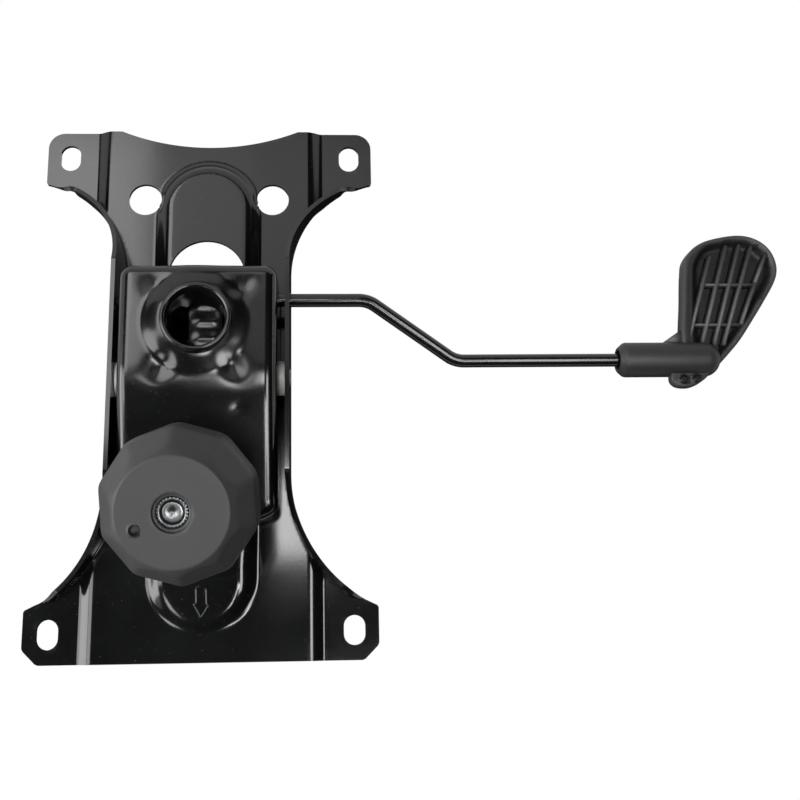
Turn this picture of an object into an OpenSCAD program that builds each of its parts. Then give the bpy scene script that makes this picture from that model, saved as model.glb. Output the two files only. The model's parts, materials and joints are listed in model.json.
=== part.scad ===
// Office chair tilt mechanism: seat plate, lift box, tension knob and lever
// +X is the chair's front, +Y the sitter's left, +Z up; origin in the mouth of the gas lift socket
// All sizes in millimetres

/* [Seat plate] */
// from a slot's centre to the plate's front or rear end
end_edge = 15; // [12:0.5:22]
// from a slot's centre to the plate's side
side_edge = 12.5; // [10:0.5:16]
// thickness of the pressed sheet
plate_t = 2.2; // [1.8:0.1:2.6]
// height of the ears' top face above the socket mouth
seat_z = 52.6; // [51:0.1:55]
// distance of the slot pattern's centre ahead of the socket
plate_x = 21.2; // [20:0.1:23]
// slot spacing, front to rear
slot_dx = 260; // [255:1:264]
// slot spacing, side to side
slot_dy = 155; // [150:1:158]
// slot width
slot_w = 11; // [8:0.5:12]
// slot length, end to end
slot_l = 15; // [13:0.5:18]
// step from the ears down to the middle
joggle = 3; // [2:0.1:3.5]
// depth of the long pressed boss
boss_d = 5; // [4:0.1:5.2]
// half width of the boss at its top
boss_r = 28; // [27:0.5:29]
// gap between a flange and the box wall
flange_gap = 3.7; // [3.4:0.1:5]
// outer line of the step, from the middle
step_y = 61; // [60:0.5:63]
// depth of the side flanges below the middle
flange_d = 31.9; // [30:0.1:34]
// radius of the hole above the socket
access_r = 20.5; // [16:0.5:21]
// flat front edge of that hole, behind the socket's axis
access_front = 21.5; // [20:0.5:24]

/* [Lift box] */
// half width of the box
box_hw = 39.5; // [37:0.5:43]
// thickness of the drawn sheet
box_t = 2.5; // [2:0.1:2.8]
// rear face
box_rear = -30.4; // [-31.5:0.1:-29]
// front face, in the middle
box_front = 103; // [100:0.5:105]
// radius of the curved front in plan
front_r = 81; // [75:1:100]
// level of the flat floor's underside
box_z = 5.5; // [5:0.1:6]
// where the floor begins to rise
box_bend = 31.4; // [30:0.1:33]
// bend radius between floor and walls
box_r = 6; // [5:0.5:7]

/* [Gas lift socket] */
// radius of the gauge land
socket_r = 14.2; // [13.9:0.05:14.3]
// outside radius of the tube
socket_or = 17.75; // [17.2:0.05:18]
// length of the gauge land
land_l = 10; // [8:0.5:12]
// length of the tube above the mouth
socket_l = 23.8; // [22.5:0.1:24]

/* [Tilt pivot] */
// pivot position ahead of the socket
pivot_x = 24; // [23.5:0.1:24.5]
// pivot height above the mouth
pivot_z = 29.5; // [29:0.1:30]
// axle radius
axle_r = 5; // [4.5:0.1:5.3]
// largest tilt
tilt_max = 12; // [8:0.5:12]

/* [Tension] */
// lean of the bolt from the vertical
bolt_a = 16.1; // [15.8:0.1:16.4]
// distance of the bolt's passage through the floor, ahead of the socket
bolt_x = 80.8; // [80.4:0.1:81.2]
// thread radius
bolt_r = 4.95; // [4.6:0.05:4.95]
// distance from the floor to the cross head
head_z = 25.8; // [25.4:0.1:26]
// radius of the cross head
head_r = 6.5; // [6:0.1:6.6]
// spring wire radius
wire_r = 3.2; // [2.8:0.1:3.3]
// spring coil radius
coil_r = 17.4; // [17:0.1:17.8]
// working coils of the spring
coils = 5.5; // [4.5:0.25:6]

/* [Knob] */
// distance from the floor to the rim
rim_z = 48.2; // [47:0.1:52]
// distance from the floor to the face
face_z = 82.5; // [82:0.1:84]
// rim radius
rim_r = 35.3; // [34.5:0.1:37]
// face radius
face_r = 24; // [23.5:0.1:25]
// distance from the floor to the lower end of the straight grip
grip_z = 64; // [60:0.5:68]
// broad grip facets
facets = 10; // [8:1:12]

/* [Lever] */
// rod position behind the socket
rod_x = -17.4; // [-17.8:0.1:-17]
// rod height above the mouth
rod_z = 27.5; // [27.2:0.1:27.8]
// rod radius
rod_r = 3.5; // [3.2:0.1:3.5]
// radius of the turned tip that locks the tilt
tip_r = 2.6; // [2.2:0.1:2.6]
// travel from free to locked
push = 6; // [4:0.5:6.5]
// radius of the rod's two bends
bend_r = 15; // [10:1:20]
// first bend, distance to the side
bend_1 = 86; // [80:1:95]
// second bend, distance to the side
bend_2 = 132.4; // [128:1:140]
// forward shift of the outer part
reach_x = 29.9; // [26:0.5:32]
// rise of the outer part
rise = 12; // [8:0.5:14]
// start of the handle's barrel
barrel_y = 219.5; // [215:0.5:225]
// barrel radius
barrel_r = 9.3; // [9:0.1:10]
// wall and rib thickness of the paddle
wall = 2.4; // [2:0.1:3]

/* [Hidden] */
$fn = 72;
eps = 0.01;
// running clearance of turning pieces
run = 0.06;
// clearance of fixed pieces
fit = 0.02;
// room between parts that pass each other
pass = 0.3;
// overlap of joined lengths of bar
lap = 0.4;
plate_l = slot_dx + 2 * end_edge;
plate_w = slot_dy + 2 * side_edge;
waist = box_hw + flange_gap + plate_t;
step_w = 5.5;
ear_z = seat_z - plate_t;
mid_z = ear_z - joggle;
floor_z = mid_z - boss_d;
boss_fr = boss_r - 5.5;
boss_x0 = plate_x - plate_l / 2 + 19.4 + boss_r;
boss_x1 = plate_x + plate_l / 2 - 13.4 - boss_r;
flange_z = mid_z - flange_d;
flange_in = waist - plate_t;
arc_rear = 58;
arc_front = 74;
arc_x0 = plate_x - 58;
arc_x1 = plate_x + 50;
bolt_z = box_z + tan(bolt_a) * (bolt_x - box_bend);
head_x = bolt_x - sin(bolt_a) * head_z;
head_y = bolt_z + cos(bolt_a) * head_z;
seat_cup = 2.2;
washer_t = 2.5;
facet_turn = 33.5;
knob_floor = face_z - 6.2;
spring_l = knob_floor - washer_t - seat_cup;
box_in = box_hw - box_t;
rear_top = 27.5;
front_top = 39.8;
bumper_t = 1.6;
end_cut = box_hw - 7.5;
bridge_l = 38;
bridge_x = -20;
bridge_z = 17.6;
bridge_t = 3;
bridge_low = 12;
tube_r = 8;
bush_in = 6.4;
bush_flange = 9;
shank_hole = 6.4;
cup_r = 22.5;
washer_r = 22;
washer_in = 12.2;
insert_r = 7;
insert_l = 18;
knob_flat = rim_r - 1.3;
grip_flat = rim_r - 1.6;
hollow_r0 = 22.6;
hollow_r1 = rim_r - 4.9;
knob_boss_r = 11.8;
rod_end = flange_in - 0.6;
tip_l = 13.6;
clip_y = box_in - 2.4;
clip_t = 1.2;
bush_r = 4.9;
thumb_y = push / 2;
reach = sqrt(pow(pivot_x - rod_x, 2) + pow(pivot_z - rod_z, 2));
rod_dir = atan2(rod_z - pivot_z, rod_x - pivot_x);
outer_x = rod_x + reach_x;
outer_z = rod_z + rise;
paddle_z = outer_z - 3.4;
paddle_t = 9;

// helpers

// puts a flat XZ profile upright, extruded across the part
module across(half) {
  translate([0, half, 0]) rotate([90, 0, 0]) linear_extrude(2 * half) children();
}

// cylinder lying across the part, centred on a point in the XZ plane
module cross_pin(x, z, r, y0, y1) {
  translate([x, y1, z]) rotate([90, 0, 0]) cylinder(h = y1 - y0, r = r);
}

// works in the bolt's own frame: z up along the bolt, zero at the floor's underside
module on_bolt() {
  translate([bolt_x, 0, bolt_z]) rotate([0, -bolt_a, 0]) children();
}

// both sides of the part
module both_sides() {
  children();
  mirror([0, 1, 0]) children();
}

// long shape with round ends; half is its half section from the axis outwards, as [radius, height]
module obround(half) {
  flip = [for (q = half) [-q[0], q[1]]];
  both = concat(half, [for (i = [len(half) - 1:-1:0]) flip[i]]);
  translate([boss_x1, 0, 0]) rotate(-90) rotate_extrude(angle = 180) polygon(half);
  translate([boss_x0, 0, 0]) rotate(90) rotate_extrude(angle = 180) polygon(half);
  translate([boss_x0, 0, 0]) rotate([90, 0, 90]) linear_extrude(boss_x1 - boss_x0)
    polygon([for (q = both) if (q[0] != 0) q]);
}

// points of an arc about c
function arc(c, r, a0, a1, n) =
  [for (i = [0:n]) let (a = a0 + (a1 - a0) * i / n) [c[0] + r * cos(a), c[1] + r * sin(a)]];
function back(l) = [for (i = [len(l) - 1:-1:0]) l[i]];

// seat plate

// left waist from the rear ear to the front ear, moved inward by g
function waist_line(g) =
  let (hw = plate_w / 2, a0 = asin((waist + arc_rear - hw) / arc_rear),
       a1 = asin((waist + arc_front - hw) / arc_front))
  concat(
    arc([arc_x0, waist + arc_rear], arc_rear + g, 180 + a0, 270, 20),
    arc([arc_x1, waist + arc_front], arc_front + g, 270, 360 - a1, 20)
  );

// left half of the outline, from the middle of the rear edge to the middle of the front edge
function half_plan() =
  let (x0 = plate_x - plate_l / 2, x1 = plate_x + plate_l / 2, hw = plate_w / 2, r = 9, c = 8,
       dip = 9.8, rear_r = (49 * 49 + dip * dip) / (2 * dip), a = asin(49 / rear_r))
  concat(
    arc([x0 + dip - rear_r, 0], rear_r, 0, a, 12),
    arc([x0 + r, hw - r], r, 180, 90, 6),
    [[waist_line(0)[0][0] - 4, hw], [waist_line(0)[1][0] - 1.5, waist_line(0)[1][1] + 0.9]],
    [for (i = [2:len(waist_line(0)) - 2]) waist_line(0)[i]],
    [[waist_line(0)[41][0] - 1, waist_line(0)[41][1] - 2.4], [waist_line(0)[41][0] + 3, hw]],
    [[x1 - c, hw], [x1, hw - c], [x1, 0]]
  );

// plan of the plate
module plate_plan() {
  h = half_plan();
  n = len(h) - 1;
  polygon(concat(h, [for (i = [n - 1:-1:1]) [h[i][0], -h[i][1]]]));
}

// plan of the left flange
module flange_plan() {
  polygon(concat(
    [for (i = [2:len(waist_line(0)) - 2]) waist_line(0)[i]],
    back([for (i = [2:len(waist_line(0)) - 2]) waist_line(plate_t)[i]])
  ));
}

// side view of the flange, shallow at the ears and deep at the waist
module flange_side() {
  x0 = plate_x - 118;
  x1 = plate_x + 118;
  polygon([
    [x0, ear_z], [x0, ear_z - 4], [arc_x0, flange_z], [arc_x1 + 3, flange_z],
    [x1, ear_z - 4], [x1, ear_z]
  ]);
}

// sheet with joggled ears, seen from the front
module plate_section() {
  y0 = step_y - step_w;
  y1 = step_y;
  polygon([
    [-100, ear_z], [-y1, ear_z], [-y0, mid_z], [y0, mid_z], [y1, ear_z], [100, ear_z],
    [100, seat_z], [y1, seat_z], [y0, seat_z - joggle], [-y0, seat_z - joggle],
    [-y1, seat_z], [-100, seat_z]
  ]);
}

// flange slot seen from the side: the lever rod's path while the plate tilts
module rod_path(r) {
  c = [pivot_x, pivot_z];
  e0 = rod_dir;
  e1 = rod_dir - tilt_max;
  polygon(concat(
    arc(c, reach + r, e0, e1, 8),
    arc(c + reach * [cos(e1), sin(e1)], r, e1 - 15, e1 - 165, 10),
    arc(c, reach - r, e1, e0, 8),
    arc(c + reach * [cos(e0), sin(e0)], r, e0 + 165, e0 + 15, 10)
  ));
}

module seat_plate() {
  top = seat_z + 1;
  color("#1b1c1e") difference() {
    union() {
      intersection() {
        translate([plate_x - 160, 0, 0]) rotate([90, 0, 90]) linear_extrude(320) plate_section();
        linear_extrude(100) plate_plan();
      }
      both_sides() intersection() {
        across(100) flange_side();
        linear_extrude(100) flange_plan();
      }
      obround([[0, floor_z], [boss_fr, floor_z], [boss_r + 0.55, mid_z + 0.5], [0, mid_z + 0.5]]);
      // trough that carries the bolt's cross head
      intersection() {
        cross_pin(head_x, head_y, head_r + run + plate_t, -13, 13);
        translate([head_x - 20, -20, floor_z - 30]) cube([40, 40, 31]);
      }
    }
    obround([
      [0, floor_z + plate_t], [boss_fr, floor_z + plate_t], [boss_r, mid_z + plate_t], [boss_r, top], [0, top]
    ]);
    cross_pin(head_x, head_y, head_r + run, -13 + plate_t, 13 - plate_t);
    translate([head_x - bolt_r - 0.9, -bolt_r - 0.5, floor_z - 20])
      cube([2 * bolt_r + 4, 2 * bolt_r + 1, 21]);
    for (x = [-slot_dx / 2, slot_dx / 2], y = [-slot_dy / 2, slot_dy / 2])
      translate([plate_x + x, y, ear_z - 1]) slot();
    both_sides() translate([plate_x - 104, 34.9, 20]) cylinder(h = 40, r = 9);
    intersection() {
      translate([plate_x - 57.4, 0, 30]) cylinder(h = 30, r = access_r);
      translate([-access_front - 80, -40, 25]) cube([80, 80, 40]);
    }
    cross_pin(pivot_x, pivot_z, axle_r + fit, -100, 100);
    translate([0, -50, 0]) across(15) rod_path(rod_r + 0.4);
    for (a = [0, tilt_max]) lock_hole(a);
  }
}

module slot() {
  s = (slot_l - slot_w) / 2;
  for (x = [-s, s]) translate([x, 0, 0]) cylinder(h = 6, r = slot_w / 2);
  translate([-s, -slot_w / 2, 0]) cube([2 * s, slot_w, 6]);
}

// hole in the left flange where the rod's tip locks the plate
module lock_hole(a) {
  translate([pivot_x, 40, pivot_z]) rotate([-90, 0, 0]) rotate(-rod_dir + a)
    translate([reach, 0, 0]) cylinder(h = 10, r = tip_r + 0.25);
}

// lift box

// bottom corners of the box rounded, seen along its length
module box_section(o) {
  hw = box_hw - box_r;
  r = box_r - o;
  polygon(concat(
    [[-box_hw + o, 80]], arc([-hw, box_r], r, 180, 270, 6),
    arc([hw, box_r], r, 270, 360, 6), [[box_hw - o, 80]]
  ));
}

// plan of the box, grown inward by o
module box_plan(o) {
  r0 = 5.5;
  r1 = 7;
  a = asin((box_hw - r1) / (front_r - r1));
  c = [box_front - front_r, 0];
  x1 = c[0] + (front_r - r1) * cos(a);
  polygon(concat(
    arc([box_rear + r0, -box_hw + r0], r0 - o, 180, 270, 8),
    arc([x1, -box_hw + r1], r1 - o, 270, 360 - a, 6),
    arc(c, front_r - o, -a + 2, a - 2, 14),
    arc([x1, box_hw - r1], r1 - o, a, 90, 6),
    arc([box_rear + r0, box_hw - r0], r0 - o, 90, 180, 8)
  ));
}

// outer shape for o = 0, the hollow inside for o = box_t
module box_form(o) {
  intersection() {
    translate([0, 0, -5]) linear_extrude(100) box_plan(o);
    // flat floor
    translate([-60, 0, box_z]) rotate([90, 0, 90]) linear_extrude(200) box_section(o);
    // rising floor, square to the bolt
    translate([box_bend, 0, box_z]) rotate([0, -bolt_a, 0]) translate([-120, 0, 0])
      rotate([90, 0, 90]) linear_extrude(240) box_section(o);
    // rear lower edge, rounded
    across(60) polygon(concat(
      [[150, box_z - 4], [150, 95], [box_rear + o - 1, 95], [box_rear + o - 1, box_z + box_r]],
      arc([box_rear + box_r, box_z + box_r], box_r - o + 0.3, 185, 268, 6)
    ));
  }
}

// raised neck of the floor round the socket
module neck() {
  r1 = 27;
  n = 8;
  rotate_extrude() polygon(concat(
    [[socket_or + fit, box_z + 1], [socket_or + fit, 1.2], [socket_or + 1.4, 1.2]],
    [for (i = [0:n]) [socket_or + 1.4 + (r1 - socket_or - 1.4) * i / n,
                      box_z - (box_z - 1.2) * pow(1 - i / n, 2)]],
    [[r1, box_z + 1]]
  ));
}

module lift_box() {
  tilt_room = tan(tilt_max);
  color("#191a1c") difference() {
    union() {
      difference() {
        box_form(0);
        box_form(box_t);
        translate([0, 0, -1]) cylinder(h = 12, r = socket_or + fit);
      }
      neck();
    }
    // the walls stop short of the plate, also when it leans back
    across(60) polygon([
      [-60, mid_z - 1 - tilt_room * (pivot_x + 60) + 1.2], [pivot_x - 3, mid_z - 1], [150, mid_z - 1],
      [150, 120], [-60, 120]
    ]);
    translate([-60, -end_cut, rear_top]) cube([46, 2 * end_cut, 60]);
    translate([70, -end_cut, front_top]) cube([60, 2 * end_cut, 60]);
    cross_pin(pivot_x, pivot_z, tube_r + fit, -60, 60);
    cross_pin(rod_x, rod_z, bush_r + fit, -60, 60);
    on_bolt() translate([0, 0, -5]) cylinder(h = 20, r = shank_hole);
  }
}

// socket

module gas_lift_socket() {
  lip = 1.5;
  color("#26282b") difference() {
    rotate_extrude() polygon([
      [socket_r, 0], [socket_r + lip * 0.3, -lip * 0.75], [socket_r + lip, -lip], [socket_or - lip * 0.6, -lip],
      [socket_or, -lip * 0.4], [socket_or, socket_l], [socket_r - 0.45, socket_l], [socket_r, land_l]
    ]);
    translate([-30, -30, 21.4]) cube([25, 60, 20]);
  }
}

// stiffener between the box walls that holds the top of the socket
module socket_bridge() {
  color("#2a2c2f") difference() {
    union() {
      translate([bridge_x, -box_in + fit, bridge_z]) cube([bridge_l, 2 * (box_in - fit), bridge_t]);
      for (s = [-1, 1]) translate([bridge_x, s * (box_in - fit - box_t / 2) - box_t / 2, bridge_low])
        cube([bridge_l, box_t, bridge_z + bridge_t - bridge_low]);
    }
    translate([0, 0, bridge_low - 2]) cylinder(h = 20, r = socket_or + fit);
  }
}

// pivot

module pivot_tube() {
  color("#2a2c2f") difference() {
    cross_pin(pivot_x, pivot_z, tube_r, -box_hw, box_hw);
    cross_pin(pivot_x, pivot_z, bush_in + fit, -box_hw - 10, box_hw + 10);
  }
}

module pivot_axle() {
  color("#9aa0a6") difference() {
    cross_pin(pivot_x, pivot_z, axle_r, -waist - 0.4, waist + 0.4);
    both_sides() translate([pivot_x, waist + 0.41, pivot_z]) rotate([90, 0, 0])
      cylinder(h = 1.2, r1 = 2.6, r2 = 1.2);
  }
}

module pivot_bushes() {
  color("#eceae2") both_sides() difference() {
    union() {
      cross_pin(pivot_x, pivot_z, bush_in, box_hw - 14, box_hw + 1);
      cross_pin(pivot_x, pivot_z, bush_flange, box_hw + fit, flange_in - 0.12);
    }
    cross_pin(pivot_x, pivot_z, axle_r + run, 0, 60);
  }
}

// tension

module tension_bolt() {
  color("#c9ccd0") union() {
    difference() {
      cross_pin(head_x, head_y, head_r, -10.2, 10.2);
      translate([head_x, 0, head_y]) rotate([0, -bolt_a, 0]) translate([-20, -20, 4.4]) cube([40, 40, 10]);
    }
    on_bolt() difference() {
      translate([0, 0, -face_z + 2.8]) cylinder(h = head_z + face_z - 2.8, r = bolt_r);
      translate([0, 0, -face_z + 2.79]) cylinder(h = 2, r1 = 1.9, r2 = 0.5);
      translate([0, 0, -face_z + 2.79]) rotate_extrude()
        polygon([[bolt_r - 0.7, 0], [bolt_r + 1, 0], [bolt_r + 1, 1.7]]);
    }
  }
}

module spring_seat() {
  color("#3a3d40") on_bolt() difference() {
    rotate_extrude() polygon([
      [shank_hole, -fit], [cup_r, -fit], [cup_r, -seat_cup], [coil_r - wire_r - 0.3, -seat_cup],
      [coil_r - wire_r - 0.8, -seat_cup - 3], [shank_hole, -seat_cup - 3]
    ]);
  }
}

// height of the coil's centre line for a share t of its length: closed, open, closed
function coil_turns() = coils + 2;
function rise_at(n) =
  let (p = 2 * wire_r + 0.55, l = spring_l - 2 * wire_r - 0.1, open = (l - 2 * p) / coils)
  n < 1 ? n * p : n < 1 + coils ? p + (n - 1) * open : p + coils * open + (n - 1 - coils) * p;
function coil_at(n) = [coil_r * cos(360 * n), coil_r * sin(360 * n), rise_at(n)];
module tension_spring() {
  per = 8;
  sides = 6;
  n = ceil(coil_turns() * per);
  z0 = -seat_cup - spring_l + wire_r + 0.05;
  pts = [for (i = [0:n], k = [0:sides - 1])
    let (c = coil_at(coil_turns() * i / n), a = 360 * coil_turns() * i / n, b = 360 * k / sides + 90)
    [c[0] + wire_r * cos(b) * cos(a), c[1] + wire_r * cos(b) * sin(a), z0 + c[2] + wire_r * sin(b)]];
  tris = concat(
    [for (k = [1:sides - 2]) [0, k, k + 1]],
    [for (i = [0:n - 1], k = [0:sides - 1], h = [0, 1])
      let (a = i * sides + k, b = i * sides + (k + 1) % sides)
      h == 0 ? [a, a + sides, b] : [b, a + sides, b + sides]],
    [for (k = [1:sides - 2]) [n * sides, n * sides + k + 1, n * sides + k]]
  );
  step = [for (i = [0:n - per]) rise_at(coil_turns() * (i + per) / n) - rise_at(coil_turns() * i / n)];
  gap = min(step) - 2 * wire_r;
  echo(spring_gap_mm = gap);
  color("#2c2e31") on_bolt() polyhedron(pts, tris, 4);
}

module thrust_washer() {
  color("#b8bcc0") on_bolt() difference() {
    translate([0, 0, -knob_floor + fit]) cylinder(h = washer_t - fit, r = washer_r);
    translate([0, 0, -knob_floor - 1]) cylinder(h = washer_t + 4, r = washer_in);
  }
}

module knob_insert() {
  color("#c2b280") on_bolt() difference() {
    translate([0, 0, -face_z + 2]) cylinder(h = insert_l, r = insert_r);
    translate([0, 0, -face_z]) cylinder(h = 30, r = bolt_r + run);
  }
}

module tension_knob() {
  h = face_z - rim_z;
  low = face_z - grip_z;
  draft = (knob_flat - grip_flat) / (h - low);
  fall = (grip_flat - face_r - 0.6) / low;
  color("#303235") on_bolt() difference() {
    union() {
      difference() {
        intersection() {
          // round limits of the face and the rim
          translate([0, 0, -face_z]) rotate_extrude() polygon([
            [0, 0], [face_r, 0], [rim_r, (rim_r - face_r) / 0.9], [rim_r, h], [0, h]
          ]);
          // straight grip, then the bevel to the face
          rotate(facet_turn) faceted(grip_flat - draft * low, draft, h);
          rotate(facet_turn) faceted(face_r + 0.6, fall, h);
        }
        // hollow that takes the spring
        translate([0, 0, -knob_floor]) rotate_extrude() polygon([
          [0, 0], [hollow_r0, 0], [hollow_r1, 11], [hollow_r1 + 0.6, h], [0, h]
        ]);
      }
      translate([0, 0, -face_z + 1]) cylinder(h = insert_l - 1, r = knob_boss_r);
    }
    translate([0, 0, -face_z - 1]) cylinder(h = insert_l + 12, r = insert_r + fit);
    translate([0, 0, -face_z - eps]) cylinder(h = 2, r = 8.2);
    rotate(65.8) translate([17.1, 0, -face_z - eps]) cylinder(h = 4, r = 2.1);
  }
}

// tapered body with flat grip faces, a little longer than the knob
// flat is the faces' distance from the axis at the knob's face
module faceted(flat, slope, h) {
  c = cos(180 / facets);
  translate([0, 0, -face_z - 1])
    cylinder(h = h + 2, r1 = (flat - slope) / c, r2 = (flat + slope * (h + 1)) / c, $fn = facets);
}

// lever

function unit(v) = v / norm(v);
lever_path = [
  [rod_x, rod_end - tip_l, rod_z], [rod_x, -bend_1, rod_z],
  [outer_x, -bend_2, outer_z], [outer_x, -barrel_y - 42, outer_z]
];

// straight length of round bar from a to b
module bar(a, b, r) {
  d = b - a;
  translate(a) rotate([0, acos(d[2] / norm(d)), atan2(d[1], d[0])]) cylinder(h = norm(d), r = r);
}

// length of bar taken up by the bend between two directions
function bend_cut(d1, d2) = bend_r * tan(acos(d1 * d2) / 2);

// bend at corner p, coming along d1 and leaving along d2
module elbow(p, d1, d2, r) {
  n = unit(d2 - (d2 * d1) * d1);
  up = cross(d1, n);
  translate(p - d1 * bend_cut(d1, d2) + n * bend_r)
    rotate([atan2(d1[2], up[2]), asin(n[2]), atan2(-n[1], -n[0])])
      rotate_extrude(angle = acos(d1 * d2)) translate([bend_r, 0]) circle(r);
}

module lever_rod() {
  p = lever_path;
  d = [for (i = [0:2]) unit(p[i + 1] - p[i])];
  c1 = bend_cut(d[0], d[1]) - lap;
  c2 = bend_cut(d[1], d[2]) - lap;
  color("#b9bdc1") difference() {
    union() {
      bar(p[0], p[1] - c1 * d[0], rod_r);
      bar(p[1] + c1 * d[1], p[2] - c2 * d[1], rod_r);
      bar(p[2] + c2 * d[2], p[3], rod_r);
      elbow(p[1], d[0], d[1], rod_r - fit);
      elbow(p[2], d[1], d[2], rod_r - fit);
      // turned tip with a chamfer
      translate([rod_x, 0, rod_z]) rotate([-90, 0, 0]) rotate_extrude() polygon([
        [0, rod_end - tip_l - 1], [tip_r, rod_end - tip_l - 1], [tip_r, rod_end - 1],
        [tip_r - 0.8, rod_end], [0, rod_end]
      ]);
    }
    // groove of the retaining clip
    translate([rod_x, -clip_y + clip_t / 2 + 0.08, rod_z]) rotate([90, 0, 0]) difference() {
      cylinder(h = clip_t + 0.16, r = 9);
      translate([0, 0, -1]) cylinder(h = 5, r = rod_r - 0.7);
    }
    // cross hole of the thumb's pin
    translate([rod_x, -thumb_y, rod_z - 8]) cylinder(h = 16, r = 1.5 + fit);
  }
}

module wall_bush(r, side) {
  mirror([0, side < 0 ? 1 : 0, 0]) difference() {
    union() {
      cross_pin(rod_x, rod_z, bush_r, box_in - 0.5, box_hw);
      cross_pin(rod_x, rod_z, bush_r + 1.3, box_in - 1.6, box_in - fit);
    }
    cross_pin(rod_x, rod_z, r + run, 0, 60);
  }
}

module lever_tip_bush() {
  color("#e6e4dc") wall_bush(tip_r, 1);
}

module lever_rod_bush() {
  color("#e6e4dc") wall_bush(rod_r, -1);
}

module lever_clip() {
  color("#5a5d61") translate([rod_x, -clip_y + clip_t / 2, rod_z]) rotate([90, 0, 0]) difference() {
    cylinder(h = clip_t, r = 6.4);
    translate([0, 0, -1]) cylinder(h = 4, r = rod_r - 0.7 + run);
    translate([-2, 0, -1]) cube([4, 10, 4]);
    for (a = [150, 270, 30]) rotate(a) translate([4.9, 0, -1]) cylinder(h = 4, r = 1.1);
  }
}

// finger on the rod that reaches over the gas lift's button
module release_thumb() {
  color("#8d9196") difference() {
    union() {
      cross_pin(rod_x, rod_z, 5, -thumb_y - 6.5, -thumb_y + 6.5);
      translate([rod_x, -thumb_y - 6.5, rod_z - 2.2]) cube([20, 13, 3]);
      translate([rod_x + 20, -thumb_y, rod_z - 2.2]) cylinder(h = 3, r = 6.5);
    }
    cross_pin(rod_x, rod_z, rod_r + fit, -60, 60);
    translate([rod_x, -thumb_y, rod_z - 8]) cylinder(h = 16, r = 1.5 + fit);
  }
}

module thumb_pin() {
  color("#b8bcc0") translate([rod_x, -thumb_y, rod_z - 4.6]) cylinder(h = 9.2, r = 1.5);
}

// paddle outline in plan, shrunk by o
module paddle_plan(o) {
  hull() {
    for (c = [[-31.5, -271.5, 12.5], [-40, -282, 14.5], [-43.3, -297.2, 15]])
      translate([c[0], c[1]]) circle(c[2] - o, $fn = 48);
    translate([4, -259.2]) circle(4.4 - o, $fn = 32);
    translate([7, -277.6]) circle(5.4 - o, $fn = 32);
  }
}

// rib of the paddle between two points in plan
module rib(a, b) {
  d = b - a;
  translate([a[0], a[1], paddle_z + 1.2]) rotate(atan2(d[1], d[0])) translate([0, -0.8, 0])
    cube([norm(d), 1.6, paddle_t - 2]);
}

module lever_paddle() {
  color("#3a3c3e") difference() {
    union() {
      difference() {
        union() {
          translate([0, 0, paddle_z]) linear_extrude(paddle_t) paddle_plan(0);
          // flap in front of the barrel
          translate([0, 0, outer_z - 4]) linear_extrude(6) hull() {
            translate([outer_x + 9, -255.6]) circle(5.8, $fn = 32);
            translate([outer_x + 5.6, -263]) circle(7, $fn = 32);
          }
        }
        translate([0, 0, paddle_z - 1]) linear_extrude(paddle_t - wall + 1) paddle_plan(wall);
        for (y = [-254.6, -262.6]) translate([outer_x + 11.4, y, outer_z - 5]) cylinder(h = 4, r = 2.3);
      }
      intersection() {
        union() {
          for (i = [0:4]) rib([4.5, -259.4 - 6.4 * i], [-53 - (i == 0 ? -8 : 0), -277 - 6.6 * i]);
          for (x = [-30.3, -7.7]) rib([x, -258], [x, -306]);
        }
        translate([0, 0, paddle_z]) linear_extrude(paddle_t) paddle_plan(wall / 2);
      }
      // barrel with a rounded outer end
      translate([outer_x, -barrel_y, outer_z]) rotate([90, 0, 0]) cylinder(h = 46, r = barrel_r);
      translate([outer_x, -barrel_y - 46, outer_z]) sphere(barrel_r);
    }
    translate([outer_x, -barrel_y + 1, outer_z]) rotate([90, 0, 0]) cylinder(h = 43.2, r = rod_r + fit);
    translate([outer_x, -barrel_y + eps, outer_z]) rotate([90, 0, 0]) cylinder(h = 5, r1 = 7, r2 = 5);
  }
}

// rubber strips on the box ends that stop the plate

// section of a strip that straddles the edge of a wall with a gap on both sides
module strip(gap) {
  difference() {
    translate([-box_t / 2 - bumper_t, -5]) square([box_t + 2 * bumper_t, 5 + bumper_t]);
    translate([-box_t / 2 - gap, -6]) square([box_t + 2 * gap, 6 + fit]);
  }
}

// bent to the box's curved front
module front_bumper() {
  a = asin((end_cut - 12) / front_r);
  color("#17181a") translate([box_front - front_r, 0, front_top]) rotate(-a)
    rotate_extrude(angle = 2 * a) translate([front_r - box_t / 2, 0]) strip(run + fit);
}

module rear_bumper() {
  color("#17181a") translate([box_rear + box_t / 2, 0, rear_top]) across(end_cut - 8) strip(fit);
}

seat_plate();
lift_box();
gas_lift_socket();
socket_bridge();
pivot_tube();
pivot_axle();
pivot_bushes();
tension_bolt();
spring_seat();
tension_spring();
thrust_washer();
knob_insert();
tension_knob();
lever_rod();
lever_tip_bush();
lever_rod_bush();
lever_clip();
release_thumb();
thumb_pin();
lever_paddle();
front_bumper();
rear_bumper();
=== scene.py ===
# %% [markdown]
# # An office chair's tilt mechanism, seen from below
# The mechanism sits between the seat and the gas lift. A pressed plate screws to the seat, a drawn box rides on the
# lift, and a big knob sets how hard the seat pushes back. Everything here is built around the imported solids, in the
# same frame: +X is the chair's front, +Y the sitter's left, +Z up, with the origin in the mouth of the lift socket.
# The solids were drawn in millimetres, so the points below are written in millimetres too and scaled once.

# %% Load the frame
import json
import math

import bmesh
import bpy
import numpy as np
from mathutils import Matrix, Vector
from mathutils.geometry import delaunay_2d_cdt

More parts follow.
